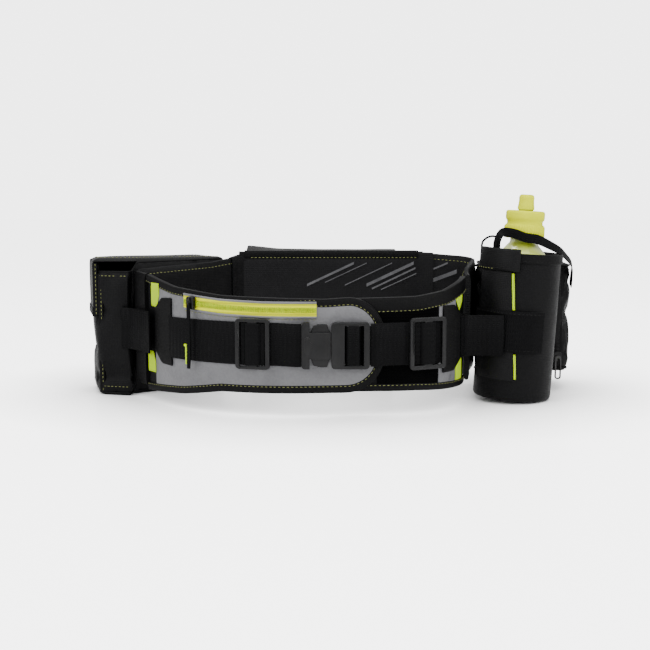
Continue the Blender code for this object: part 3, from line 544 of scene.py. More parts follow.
# ---------------------------------------------------------------- belt geometry
def right_arc_centre():
    """Where the right half of the front curve has its centre, in plan."""
    lean = math.asin((RIGHT_ARC_X - FRONT_X) / MIDDLE_ARC_R)
    y = MIDDLE_ARC_R - MIDDLE_ARC_R * math.cos(lean)
    return RIGHT_ARC_X - RIGHT_ARC_R * math.sin(lean), y + RIGHT_ARC_R * math.cos(lean)


ARC_X, ARC_Y = right_arc_centre()


def front_y(x):
    """Y of the outer wing's face at X, along three tangent arcs."""
    if x < FRONT_X:
        return LEFT_ARC_R - math.sqrt(LEFT_ARC_R ** 2 - (x - FRONT_X) ** 2)
    if x < RIGHT_ARC_X:
        return MIDDLE_ARC_R - math.sqrt(MIDDLE_ARC_R ** 2 - (x - FRONT_X) ** 2)
    return ARC_Y - math.sqrt(max(RIGHT_ARC_R ** 2 - (x - ARC_X) ** 2, 0.0))


def front_normal(x):
    """Outward direction of the belt's front at X, in plan."""
    if x < FRONT_X:
        s = (x - FRONT_X) / LEFT_ARC_R
    elif x < RIGHT_ARC_X:
        s = (x - FRONT_X) / MIDDLE_ARC_R
    else:
        s = min((x - ARC_X) / RIGHT_ARC_R, 0.9999)
    return Vector((s, -math.sqrt(1 - s * s), 0.0))


def on_front(x, z, out):
    """A point in front of the outer wing's face."""
    return Vector((x, front_y(x), z)) + front_normal(x) * out


def front_path(x0, x1, step=0.003):
    """Plan points along the front, evenly spread along its length."""
    fine = [(x0 + (x1 - x0) * k / 800, front_y(x0 + (x1 - x0) * k / 800)) for k in range(801)]
    lengths = [0.0]
    for a, b in zip(fine, fine[1:]):
        lengths.append(lengths[-1] + math.dist(a, b))
    count = max(2, round(lengths[-1] / step))
    result, at = [], 0
    for k in range(count + 1):
        while at < 800 and lengths[at] < lengths[-1] * k / count:
            at += 1
        result.append(fine[at])
    return result


def fillet_path(corners, radii, step=0.003):
    """An open path through corners, each inner corner rounded, with points a step apart."""
    points = [Vector(corners[0])]
    for k in range(1, len(corners) - 1):
        here = Vector(corners[k])
        before = (Vector(corners[k - 1]) - here)
        after = (Vector(corners[k + 1]) - here)
        angle = before.angle(after)
        reach = min(radii[k - 1] / math.tan(angle / 2), 0.45 * before.length, 0.45 * after.length)
        radius = reach * math.tan(angle / 2)
        middle = (before.normalized() + after.normalized()).normalized()
        centre = here + middle * (radius / math.sin(angle / 2))
        arm = here + before.normalized() * reach - centre
        sweep_angle = arm.angle_signed(here + after.normalized() * reach - centre)
        for i in range(9):
            turned_arm = arm.copy()
            turned_arm.rotate(Matrix.Rotation(-sweep_angle * i / 8, 2))
            points.append(centre + turned_arm)
    points.append(Vector(corners[-1]))
    result = [points[0]]
    for a, b in zip(points, points[1:]):
        count = max(1, round((b - a).length / step))
        result += [a.lerp(b, i / count) for i in range(1, count + 1)]
    return [tuple(p) for p in result]


def smooth_curve(points, steps):
    """Points of a Catmull-Rom curve through given points."""
    knots = [Vector(p) for p in points]
    knots = [knots[0] * 2 - knots[1]] + knots + [knots[-1] * 2 - knots[-2]]
    result = []
    for a, b, c, d in zip(knots, knots[1:], knots[2:], knots[3:]):
        for k in range(steps):
            t = k / steps
            result.append(0.5 * (2 * b + (c - a) * t + (2 * a - 5 * b + 4 * c - d) * t * t
                                 + (3 * b - 3 * c + d - a) * t ** 3))
    result.append(knots[-2])
    return result


def tip_bend(x, edge, side):
    """Bend a wing's edge towards the middle near its rounded tip."""
    radius = 0.036
    into = x - (WING_TIP_X - radius)
    if into <= 0:
        return edge
    drop = radius - math.sqrt(max(radius ** 2 - into ** 2, 0.0))
    return edge - side * min(drop, radius * 0.86)


def wing_top(x):
    """The outer wing's top edge at a place along the front."""
    body = ramp((-0.181, 0.1290), (-0.150, 0.1200), (-0.100, 0.1145), (0.0, 0.1125), (0.030, 0.1145),
                (0.056, 0.1145))
    return tip_bend(x, body(x), 1)


def wing_low(x):
    """The outer wing's bottom edge."""
    body = ramp((-0.181, 0.0120), (-0.140, 0.0160), (-0.100, 0.0230), (0.056, 0.0250))
    return tip_bend(x, body(x), -1)


def inner_top(x):
    """The inner wing's top edge."""
    return ramp((0.0, 0.1120), (0.090, 0.1140), (0.120, 0.1180), (0.147, 0.1280))(x)


def inner_low(x):
    """The inner wing's bottom edge."""
    return ramp((0.0, 0.0250), (0.090, 0.0245), (0.120, 0.0225), (0.147, 0.0210))(x)


# ---------------------------------------------------------------- camera, floor and light
CAMERA_BACK = 1.03             # in front of the wing's face
CAMERA_HEIGHT = 0.22
VIEW_WIDTH = 0.5909            # width of the view one metre away
LOOK_DOWN = math.radians(7.25)
FLOOR_GLOW = 3.3               # the studio is overexposed where the camera looks straight at it
BACKDROP_GLOW = 3.35
PAINTED_SHADE_REACH = 0.16             # how far the soft shadow painted into the floor's glow spreads round the object
# how strongly the painted floor shadow darkens the floor's glow
PAINTED_SHADE_DEPTH = 3.0
FILL_LIGHT = 0.9


def stage():
    """Camera at the photograph's angle, a pale floor with a painted soft shadow round the object, and soft
    studio light.
    """
    data = bpy.data.cameras.new("camera")
    camera = bpy.data.objects.new("camera", data)
    bpy.context.scene.collection.objects.link(camera)
    camera.location = LAYOUT + Vector((0.0, -CAMERA_BACK, CAMERA_HEIGHT))
    camera.rotation_euler = (math.pi / 2 - LOOK_DOWN, 0.0, 0.0)
    data.sensor_width = 36.0
    data.lens = 36.0 / VIEW_WIDTH
    bpy.context.scene.camera = camera

    mat, nodes, links, shader = new_material("floor_white")
    shader.inputs["Base Color"].default_value = (0.92, 0.92, 0.92, 1.0)
    shader.inputs["Roughness"].default_value = 0.25
    shader.inputs["Specular IOR Level"].default_value = 0.35
    shader.inputs["Emission Color"].default_value = (1.0, 1.0, 1.0, 1.0)
    direct = nodes.new("ShaderNodeLightPath").outputs["Is Camera Ray"]
    # painted shadow: the floor's glow is dimmed by ambient occlusion round the object's base
    shade = nodes.new("ShaderNodeAmbientOcclusion")
    shade.samples = 12
    shade.inputs["Distance"].default_value = PAINTED_SHADE_REACH
    painted_shade_factor = math_node(nodes, links, "POWER", shade.outputs["AO"], PAINTED_SHADE_DEPTH)
    glow = math_node(nodes, links, "MULTIPLY", direct, FLOOR_GLOW)
    links.new(math_node(nodes, links, "MULTIPLY", glow, painted_shade_factor), shader.inputs["Emission Strength"])
    mesh = bpy.data.meshes.new("floor")
    mesh.from_pydata([(-6, -6, 0), (6, -6, 0), (6, 6, 0), (-6, 6, 0)], [], [(0, 1, 2, 3)])
    mesh.materials.append(mat)
    floor = bpy.data.objects.new("floor", mesh)
    bpy.context.scene.collection.objects.link(floor)

    world = bpy.data.worlds.new("studio")
    bpy.context.scene.world = world
    world.use_nodes = True
    nodes, links = world.node_tree.nodes, world.node_tree.links
    nodes["Background"].inputs["Color"].default_value = (1.0, 1.0, 1.0, 1.0)
    direct = nodes.new("ShaderNodeLightPath").outputs["Is Camera Ray"]
    strength = math_node(nodes, links, "MULTIPLY_ADD", direct, BACKDROP_GLOW)
    strength.node.inputs[2].default_value = FILL_LIGHT
    links.new(strength, nodes["Background"].inputs["Strength"])
    lamps = [("top_box", (0.0, -0.1, 1.5), (1.6, 1.2), 26.0),
             ("left_box", (-1.3, -1.0, 0.9), (0.9, 0.9), 16.0),
             ("right_box", (1.3, -0.9, 0.8), (0.7, 0.9), 14.0),
             ("front_box", (0.1, -1.9, 0.9), (1.2, 0.6), 12.0)]
    for name, place, size, power in lamps:
        lamp = bpy.data.lights.new(name, "AREA")
        lamp.shape = "RECTANGLE"
        lamp.size, lamp.size_y = size
        lamp.energy = power
        obj = bpy.data.objects.new(name, lamp)
        bpy.context.scene.collection.objects.link(obj)
        obj.location = place
        obj.rotation_euler = (Vector((0, 0, 0.07)) - Vector(place)).to_track_quat("-Z", "Y").to_euler()


# ---------------------------------------------------------------- soft bodies
def outline_points(polygon, radius, step=0.005):
    """A closed plan outline with rounded corners, anticlockwise, with points about a step apart."""
    area = sum(a[0] * b[1] - b[0] * a[1] for a, b in zip(polygon, polygon[1:] + polygon[:1]))
    corners = polygon if area > 0 else list(reversed(polygon))
    middle = tuple((Vector(corners[0]) + Vector(corners[-1])) / 2)
    path = fillet_path([middle] + corners + [middle], [radius] * len(corners), step)
    return path[:-1]


def loop_normals(points):
    """Outward plan direction at each point of an anticlockwise outline."""
    result = []
    for k in range(len(points)):
        along = (Vector(points[(k + 1) % len(points)]) - Vector(points[k - 1])).normalized()
        result.append(Vector((along.y, -along.x, 0.0)))
    return result


def billow(obj, held, limit, pressure=4.0):
    """Let stitched cloth billow from its held seams under stuffing, by no more than a limit."""
    rest = [v.co.copy() for v in obj.data.vertices]
    group = obj.vertex_groups.new(name="seams")
    for index, weight in enumerate(held):
        group.add([index], weight, "REPLACE")
    cloth_sim = obj.modifiers.new("cloth", "CLOTH")
    settings = cloth_sim.settings
    settings.quality = 5
    settings.mass = 0.3
    settings.tension_stiffness = 20.0
    settings.compression_stiffness = 10.0
    settings.shear_stiffness = 8.0
    settings.bending_stiffness = 1.0
    settings.vertex_group_mass = "seams"
    settings.use_pressure = True
    settings.uniform_pressure_force = pressure
    settings.shrink_min = -0.04
    settings.effector_weights.gravity = 0.0
    cloth_sim.collision_settings.use_collision = False
    cloth_sim.point_cache.frame_start = 1
    cloth_sim.point_cache.frame_end = 20
    scene = bpy.context.scene
    for step in range(1, 21):
        scene.frame_set(step)
    made = obj.evaluated_get(bpy.context.evaluated_depsgraph_get()).data
    moved = [v.co.copy() for v in made.vertices]
    obj.modifiers.clear()
    scene.frame_set(1)
    for k, (a, b) in enumerate(zip(rest, moved)):
        shift = b - a
        if shift.length > limit:
            moved[k] = a + shift * (limit / shift.length)
    return moved


def pouch(name, polygon, radius, low, high, mat, body, nodes, opened=True, limit=0.0035, seed=1,
          wrinkle=0.0012, skirt=None):
    """A sewn pouch: its walls billow between the seams; an open one has an inside too."""
    points = outline_points(polygon, radius)
    normals = loop_normals(points)
    top = skirt if skirt else (lambda p: high)
    rows = max(8, round((high - low) / 0.006))
    count = len(points)
    grid, held = [], []
    for r in range(rows + 1):
        v = r / rows
        tuck = 0.0022 * max(0.0, 1 - min(v, 1 - v) * rows / 1.5) if not opened else 0.0022 * max(0.0,
                1 - v * rows / 1.5)
        for p, n in zip(points, normals):
            z = low + (top(p) - low) * v
            here = Vector((p[0], p[1], z)) - n * tuck
            grid.append(here + n * (wrinkle * math.sin(math.pi * v) * ripple(here, 26.0, seed)))
            held.append(1.0 if r in (0, rows) else 0.0)
    faces = [(r * count + i, r * count + (i + 1) % count, (r + 1) * count + (i + 1) % count,
              (r + 1) * count + i)
             for r in range(rows) for i in range(count)]
    mesh = bpy.data.meshes.new("draft")
    mesh.from_pydata(grid, [], faces)
    draft = bpy.data.objects.new("draft", mesh)
    bpy.context.scene.collection.objects.link(draft)
    grid = billow(draft, held, limit)
    bpy.data.objects.remove(draft, do_unlink=True)
    bpy.data.meshes.remove(mesh)
    rings = [grid[r * count:(r + 1) * count] for r in range(rows + 1)]
    if opened:
        rings.append([p + Vector((0, 0, 0.0006)) - n * 0.0010 for p, n in zip(rings[-1], normals)])
        rings += [[p - n * 0.0021 for p, n in zip(rings[r], normals)] for r in range(rows, 0, -1)]
    else:
        rings.append([p - n * 0.004 + Vector((0, 0, 0.0006)) for p, n in zip(rings[-1], normals)])
    run, along = 0.0, []
    for k, p in enumerate(points):
        run += math.dist(points[k - 1], p) if k else 0.0
        along.append(run)
    uvs = [(along[i], p[2]) for ring in rings for i, p in enumerate(ring)]
    verts, faces = skin(rings)
    obj = add_mesh(name, verts, [tuple(reversed(f)) for f in faces], mat, body, uvs, angle=60,
                   replaces=nodes)
    return obj


def piping(name, polygon, radius, z, mat, body, thick=0.0011, grow=0.0002):
    """A corded seam round a pouch at a height, which may vary with the plan point."""
    z = level(z)
    points = outline_points(polygon, radius, 0.004)
    normals = loop_normals(points)
    rings = []
    for p, n in zip(points, normals):
        here = Vector((p[0], p[1], z(p))) + n * grow
        rings.append([here + n * (thick * math.cos(q * math.pi / 4)) + Vector((0, 0,
                thick * math.sin(q * math.pi / 4))) for q in range(8)])
    verts, faces = skin(rings, closed=True)
    return add_mesh(name, verts, faces, mat, body, [(v[0], v[1]) for v in verts])


def round_stitches(name, polygon, radius, z, out, mat, body):
    """A row of stitches round a pouch."""
    points = outline_points(polygon, radius, 0.004)
    normals = loop_normals(points)
    z = level(z)
    run = [(Vector((p[0], p[1], z(p))) + n * out, n) for p, n in zip(points, normals)]
    stitches(name, [run], mat, body)


def edge_binding(name, points, normals, mat, body, depth, back, front, thread=None, inset=0.0055):
    """A tape folded over a panel's edge, with its row of stitches."""
    across = []
    for k, p in enumerate(points):
        along = (points[min(k + 1, len(points) - 1)] - points[max(k - 1, 0)]).normalized()
        across.append(normals[k].cross(along).normalized())
    lip = 0.0009
    section = [(depth, front + 0.0004), (depth - 0.0012, front + lip), (0.0008, front + lip),
               (-0.0007, front + 0.0002),
               (-0.0011, (front + back) / 2), (-0.0007, back - 0.0002), (0.0008, back - lip),
               (depth - 0.0012, back - lip), (depth, back - 0.0004)]
    obj = sweep(name, points, across, normals, section, mat, body)
    if thread:
        run = [(p + a * inset + n * (front + lip), n) for p, a, n in zip(points, across, normals)]
        stitches(name + "_stitches", [run], thread, body)
    return obj


def flat_strip(name, spine, outs, half, thick, mat, body, nodes=()):
    """Webbing along the belt's front: it keeps its height and follows a spine of plan points."""
    rings, uvs, run = [], [], 0.0
    for k, (p, n) in enumerate(zip(spine, outs)):
        run += (p - spine[k - 1]).length if k else 0.0
        rim = thick * 0.35
        section = [(-half, rim), (-half + rim, 0.0), (half - rim, 0.0), (half, rim), (half, thick - rim),
                   (half - rim, thick),
                   (-half + rim, thick), (-half, thick - rim)]
        rings.append([p + n * b + Vector((0, 0, a)) for a, b in section])
        uvs += [(a, run) for a, b in section]
    verts, faces = skin(rings)
    return add_mesh(name, verts, faces, mat, body, uvs, replaces=nodes)


# ---------------------------------------------------------------- lumbar section
def lumbar():
    """The padded back section, its lining and the stripes printed on it."""
    span = fillet_path([(RIGHT_CREASE_X - 0.0006, REAR_Y), (0.0, REAR_Y), (LEFT_CREASE_X + 0.0006, REAR_Y)],
                       [0.01], 0.006)
    obj = panel("lumbar_pad", span, -0.0035, 0.0040, BELT_LOW, 0.147, PADDED, "lumbar",
                puff=0.0, puff_in=0.0005,
                crease=0.0004, replaces=("lumbar_panel",), ends=False, inside=LINING)
    inner = fillet_path([(0.1030, REAR_Y), (0.0, REAR_Y), (-0.090, REAR_Y)], [0.01], 0.004)
    panel("lumbar_face", inner, -0.0054, -0.0040, BELT_LOW + 0.006, 0.141, LINING, "lumbar",
          puff_in=0.0012, crease=0.0007,
          rows=18, replaces=("lumbar_lining",), seed=4)
    edge = [Vector((x / 1000, REAR_Y, 0.1472)) for x in range(103, -92, -4)]
    edge_binding("lumbar_rim", edge, [Vector((0, -1, 0))] * len(edge), BINDING, "lumbar",
                 0.0075, -0.0040, 0.0052, None)
    seam = [(Vector((x / 1000, REAR_Y - 0.0066, 0.1405)), (0, -1, 0)) for x in range(102, -90, -6)]
    stitches("lumbar_stitches", [seam], THREAD_PALE, "lumbar")
    face_y = REAR_Y - 0.0069
    bars = [("stripe_a", 0.046, 0.098, 0.1100, 0.1345, 0.0018),
            ("stripe_b", 0.052, 0.100, 0.1060, 0.1290, 0.0010),
            ("stripe_c", -0.020, 0.032, 0.1100, 0.1345, 0.0014),
            ("stripe_f", 0.000, 0.046, 0.1130, 0.1345, 0.0005),
            ("stripe_g", 0.062, 0.101, 0.1050, 0.1230, 0.0006),
            ("stripe_h", 0.022, 0.074, 0.1100, 0.1345, 0.0006)]
    for name, x0, x1, z0, z1, w in bars:
        low = [(x0 + (x1 - x0) * k / 10, face_y - 0.0002, z0 + (z1 - z0) * k / 10) for k in range(11)]
        verts = [(x, y - d, z + s) for x, y, z in low for d,
                 s in ((0, -w), (0.0003, -w), (0.0003, w), (0, w))]
        faces = skin([verts[k:k + 4] for k in range(0, 44, 4)])[1]
        add_mesh(name, verts, faces, PRINT, "lumbar")


PEAK_ALONG = ramp((-0.088, 0.0045), (-0.055, 0.0010), (-0.020, 0.0), (0.080, 0.0))
PEAK_BEHIND = ramp((0.2020, 0.0), (0.2150, 1.0), (0.3, 1.0))


def rear_peak(x, y):
    """How far the rear pouch's stiff left corner stands up, away from the lid's hinge."""
    return PEAK_ALONG(x) * PEAK_BEHIND(y)


def rear_pouch():
    """The pouch behind the back section, with its patch and its lid."""
    box = [(-0.086, 0.1965), (0.078, 0.1965), (0.078, 0.240), (-0.086, 0.240)]
    pouch("rear_bag", box, 0.012, 0.0, 0.1435, PADDED, "lumbar", ("rear_pouch",),
          limit=0.0012, seed=2, wrinkle=0.0006,
          skirt=lambda p: 0.1437 + rear_peak(p[0], p[1]))
    piping("rear_bag_piping", box, 0.012, 0.0024, BINDING, "lumbar", grow=-0.0010)
    round_stitches("rear_bag_stitches", box, 0.012, 0.0080, 0.0004, THREAD_DARK, "lumbar")
    patch = fillet_path([(0.048, 0.2414), (0.0, 0.2414), (-0.056, 0.2414)], [0.01], 0.008)
    panel("rear_patch", patch, 0.0, 0.0009, 0.094, 0.116, PILE, "lumbar", rows=4,
          replaces=("rear_closure_patch",))
    x0, x1 = -0.088, 0.080
    top, drop = 0.1470, 0.088
    section = [(0.1988, top - 0.0006), (0.1988, top - 0.0022), (0.2414, top - 0.0022),
               (0.2419, top - 0.0030), (0.2419, drop), (0.2430, drop - 0.0006),
               (0.2441, drop), (0.2441, top - 0.0042), (0.2430, top - 0.0014), (0.2405, top - 0.0002),
               (0.2200, top)]
    rings, uvs = [], []
    for k in range(29):
        x = x0 + (x1 - x0) * k / 28
        rings.append([(x, y, z + (rear_peak(x, y) if z > 0.14 else 0.0) + (0.0007 * ripple((x, y, z), 30.0,
                6) if z > top - 0.001 and 0.2 < y < 0.241 else 0.0)) for y, z in section])
        uvs += [(x, y + z) for y, z in section]
    verts, faces = skin(rings)
    add_mesh("rear_flap", verts, faces, NYLON, "rear_lid", uvs, replaces=("rear_pouch_lid",))
    hem = [(Vector((x / 1000, 0.2447, drop + 0.0065)), (0, 1, 0)) for x in range(-84, 77, 4)]
    stitches("rear_flap_stitches", [hem], THREAD_PALE, "rear_lid")
    rim = [Vector((x / 1000, 0.2432, drop + 0.0005)) for x in range(-88, 81, 4)]
    sweep("rear_flap_binding", rim, [Vector((0, 0, 1))] * len(rim), [Vector((0, 1, 0))] * len(rim),
          [(-0.0011, -0.0004), (-0.0011, 0.0008), (0.0, 0.0016), (0.0085, 0.0013), (0.0085, 0.0008),
           (0.0085, -0.0013), (0.0, -0.0016)],
          BINDING, "rear_lid")


# ---------------------------------------------------------------- left half
def left_panels():
    """The left side pad and the outer wing with its facing, bindings and trims."""
    crease = Vector((LEFT_CREASE_X, REAR_Y))
    start = crease + (Vector(LEFT_FOLD) - crease).normalized() * 0.004
    end_y = front_y(WING_LEFT_X)
    path = fillet_path([tuple(start), LEFT_FOLD, (WING_LEFT_X - 0.0006, end_y + 0.0009)], [0.012], 0.004)
    keys = [k / (len(path) - 1) for k in range(len(path))]
    high = ramp((0.0, 0.141), (0.2, 0.137), (1.0, 0.131))
    obj = panel("left_side_pad", path, -0.0030, 0.0030, ramp((0.0, 0.027), (0.13, 0.0165), (1.0, 0.0145)),
                high, PADDED, "left_half", keys=keys, puff_in=0.0012, puff=0.0006,
                crease=0.0010, replaces=("left_side_panel",), rows=20)
    frames = path_frames(path)
    run = [(Vector((p.x, p.y, high(k) - 0.006)) - Vector((n.x, n.y, 0)) * 0.0034, (-n.x, -n.y, 0)) for (p,
            n, r), k in zip(frames, keys)]
    stitches("left_side_stitches", [run], THREAD_PALE, "left_half")

    wing = front_path(WING_LEFT_X, WING_TIP_X - 0.0312, 0.005) + front_path(WING_TIP_X - 0.030,
            WING_TIP_X - 0.0003, 0.0014)
    panel("wing_pad", wing, -WING_THICK + 0.0005, -0.0004, wing_low, wing_top, PADDED, "left_half",
          rows=16, replaces=("left_wing",),
          ends=False)
    face = front_path(WING_LEFT_X + 0.010, WING_TIP_X - 0.030, 0.004) + front_path(WING_TIP_X - 0.029,
            WING_TIP_X - 0.005, 0.0014)
    panel("wing_satin", face, -0.0004, 0.0006, lambda x: wing_low(x) + 0.004, lambda x: wing_top(x) - 0.004,
          SATIN, "left_half",
          rows=26, puff=0.0004, crease=0.00035, replaces=("wing_facing",), seed=9, fold_scale=30.0)
    xs = [WING_LEFT_X + (WING_TIP_X - 0.037 - WING_LEFT_X) * k / 60 for k in range(61)]
    xs += [WING_TIP_X - 0.036 + 0.036 * math.sin(math.pi / 2 * k / 14) for k in range(1, 15)]
    top = [(x, wing_top(x)) for x in xs]
    low = [(x, wing_low(x)) for x in xs]
    side = [(WING_TIP_X, top[-1][1] + (low[-1][1] - top[-1][1]) * k / 8) for k in range(1, 8)]
    rim = list(reversed(top + side + list(reversed(low))))
    points = [on_front(x, z, 0.0) for x, z in rim]
    normals = [front_normal(x) for x, z in rim]
    edge_binding("wing_binding", points, normals, BINDING, "left_half", 0.0068, -WING_THICK,
                 0.0004, THREAD_PALE, 0.0056)


def front_zip():
    """The outer wing's zip: tape, teeth, slider and the long pull ribbon."""
    rise = ramp((-0.137, 0.0045), (-0.100, 0.0012), (-0.060, 0.0), (0.0, 0.0))
    path = front_path(-0.137, -0.008, 0.003)
    base = 0.0010
    mid = lambda x: 0.1035 + rise(x)
    panel("zip_tape", path, base, base + 0.0009, lambda x: mid(x) - 0.0078, lambda x: mid(x) + 0.0070,
          NEON_ZIP, "left_half", rows=8,
          replaces=("front_zip_tape",), ends=False)
    run = [(on_front(p[0], mid(p[0]) - 0.0004, base + 0.0011), front_normal(p[0])) for p in path]
    teeth("zip_coil", run, NEON_TRIM, "left_half", 0.0052, 0.0017, 0.0005)
    for name, shift in (("zip_fold_upper", 0.0066), ("zip_fold_lower", -0.0074)):
        line = [on_front(p[0], mid(p[0]) + shift, base + 0.0006) for p in path]
        out = [front_normal(p[0]) for p in path]
        sweep(name, line, [Vector((0, 0, 1))] * len(line), out,
              [(-0.0011, -0.0004), (-0.0011, 0.0004), (-0.0005, 0.0009), (0.0005, 0.0009),
              (0.0011, 0.0004), (0.0011, -0.0004)], SATIN, "left_half")
        seam = [(p + Vector((0, 0, 0.0021 if shift > 0 else -0.0021)) - n * 0.0006, n) for p,
                n in zip(line, out)]
        stitches(name + "_stitches", [seam], THREAD_PALE, "left_half")
    x0 = -0.127
    angle = math.asin((x0 - FRONT_X) / LEFT_ARC_R)
    out = Vector((math.sin(angle), -math.cos(angle), 0))
    bevelled("front_zip_slider", "zip_slider", ENAMEL, "front_slider", 0.0009)
    point = on_front(x0, 0.1075, 0.0028)
    bridge = [point + Vector((0, 0, dz)) + out * (0.0036 + lift) for dz,
              lift in ((0.0048, 0.0), (0.0040, 0.0016), (0.0015, 0.0026), (-0.0015, 0.0026),
              (-0.0042, 0.0016), (-0.0050, 0.0))]
    cross = Vector((math.cos(angle), math.sin(angle), 0))
    curve = smooth_curve(bridge, 4)
    tube_piece("zip_bridge", curve, 0.0008, ENAMEL, "front_slider", cross)
    bevelled("front_zip_pull", "zip_pull_tape", WEBBING, "front_pull", 0.0004)
    bevelled("front_pull_accent", "zip_pull_accent", NEON_TRIM, "front_pull", 0.0003)


def teeth(name, run, mat, body, width, pitch, radius):
    """Zip coil: short rounded bars laid across the run."""
    verts, faces = [], []
    length = sum((b[0] - a[0]).length for a, b in zip(run, run[1:]))
    count = int(length / pitch)
    for k in range(count):
        part = (k + 0.5) / count * (len(run) - 1)
        i = int(part)
        here = run[i][0].lerp(run[i + 1][0], part - i)
        out = Vector(run[i][1])
        along = (run[i + 1][0] - run[i][0]).normalized()
        side = along.cross(out).normalized()
        first = len(verts)
        for t, r in ((-0.5, 0.5), (-0.42, 1.0), (0.42, 1.0), (0.5, 0.5)):
            for q in range(6):
                a = q * math.pi / 3
                round_it = along * (radius * r * math.cos(a)) + out * (radius * r * math.sin(a))
                verts.append(here + side * (t * width) + round_it)
        for ring in range(3):
            for q in range(6):
                n = (q + 1) % 6
                c = first + ring * 6
                faces.append((c + q, c + n, c + 6 + n, c + 6 + q))
        faces.append(tuple(first + q for q in reversed(range(6))))
        faces.append(tuple(first + 18 + q for q in range(6)))
    return add_mesh(name, verts, faces, mat, body)


def tube_piece(name, curve, radius, mat, body, hint=Vector((0, 1, 0)), replaces=(), sides=10):
    """A round rod along points."""
    rings, uvs, run = [], [], 0.0
    for k, here in enumerate(curve):
        along = (curve[min(k + 1, len(curve) - 1)] - curve[max(k - 1, 0)]).normalized()
        u = (hint - along * hint.dot(along)).normalized()
        v = along.cross(u)
        run += (here - curve[k - 1]).length if k else 0.0
        turns = [2 * math.pi * q / sides for q in range(sides)]
        rings.append([here + u * (radius * math.cos(a)) + v * (radius * math.sin(a)) for a in turns])
        uvs += [(q * radius, run) for q in range(sides)]
    verts, faces = skin(rings)
    return add_mesh(name, verts, faces, mat, body, uvs, replaces=replaces)


def left_strap():
    """The left tab, webbing, hip band and slide adjuster."""
    trim_a = front_path(-0.1745, -0.1655, 0.0015)
    trim_b = front_path(-0.1800, -0.1710, 0.0015)
    panel("trim_left_upper", trim_a, 0.0006, 0.0018, ramp((-0.1745, 0.0985), (-0.1680, 0.0985),
                                                          (-0.1655, 0.110)), 0.1225, NEON_TRIM, "left_half",
          rows=6, replaces=("left_trim_upper",), ends=False)
    panel("trim_left_lower", trim_b, 0.0004, 0.0014, 0.031, ramp((-0.1800, 0.0525), (-0.1735, 0.0525),
            (-0.1710, 0.041)), NEON_TRIM, "left_half",
          rows=6, replaces=("left_trim_lower",), ends=False)
    spread = ramp((-0.1690, 0.0225), (-0.1620, 0.0330), (-0.1505, 0.0340))
    panel("tab_left", front_path(-0.1690, -0.1505, 0.002), 0.0008, 0.0031,
          lambda x: STRAP_Z + 0.005 - spread(x), lambda x: STRAP_Z + 0.005 + spread(x),
          BINDING, "left_half", rows=12, replaces=("left_anchor_tab",), puff=0.0003)
    runs = []
    for dx in (-0.1655, -0.1530):
        runs.append([(on_front(dx, STRAP_Z + 0.005 + z / 1000, 0.0034),
                      front_normal(dx)) for z in range(-20, 21, 4)])
    for dz in (-0.020, 0.020):
        runs.append([(on_front(x / 10000, STRAP_Z + 0.005 + dz, 0.0034),
                      front_normal(x / 10000)) for x in range(-1655, -1520, 20)])
    stitches("tab_left_stitches", runs, THREAD_DARK, "left_half")
    sit = ramp((-0.1520, 0.0017), (-0.0450, 0.0017), (-0.0265, 0.0072), (-0.0225, 0.0072))
    xs = [-0.1520 + (0.1300) * k / 60 for k in range(61)]
    flat_strip("strap_left", [on_front(x, STRAP_Z, sit(x)) for x in xs], [front_normal(x) for x in xs],
               WEB_HALF, 0.0016, WEBBING, "left_half",
               ("left_webbing",))
    path = fillet_path([(-0.2110, 0.1058), (-0.2010, 0.1032), (-0.1860, 0.0860), (-0.1755, 0.0697)],
                       [0.006, 0.02], 0.003)
    frames = path_frames(path)
    flat_strip("hip_strap", [Vector((p.x, p.y, STRAP_Z + 0.002)) + Vector((n.x, n.y, 0)) * 0.0010 for p, n,
                             r in frames],
               [Vector((n.x, n.y, 0)) for p, n, r in frames], 0.0215, 0.0016, WEBBING, "left_half",
               ("left_hip_band",))
    bevelled("left_glide", "slide_left", ACETAL, "left_adjuster", 0.0007)
    bevelled("left_glide_webbing", "slide_left_strap", WEBBING, "left_adjuster", 0.0003)


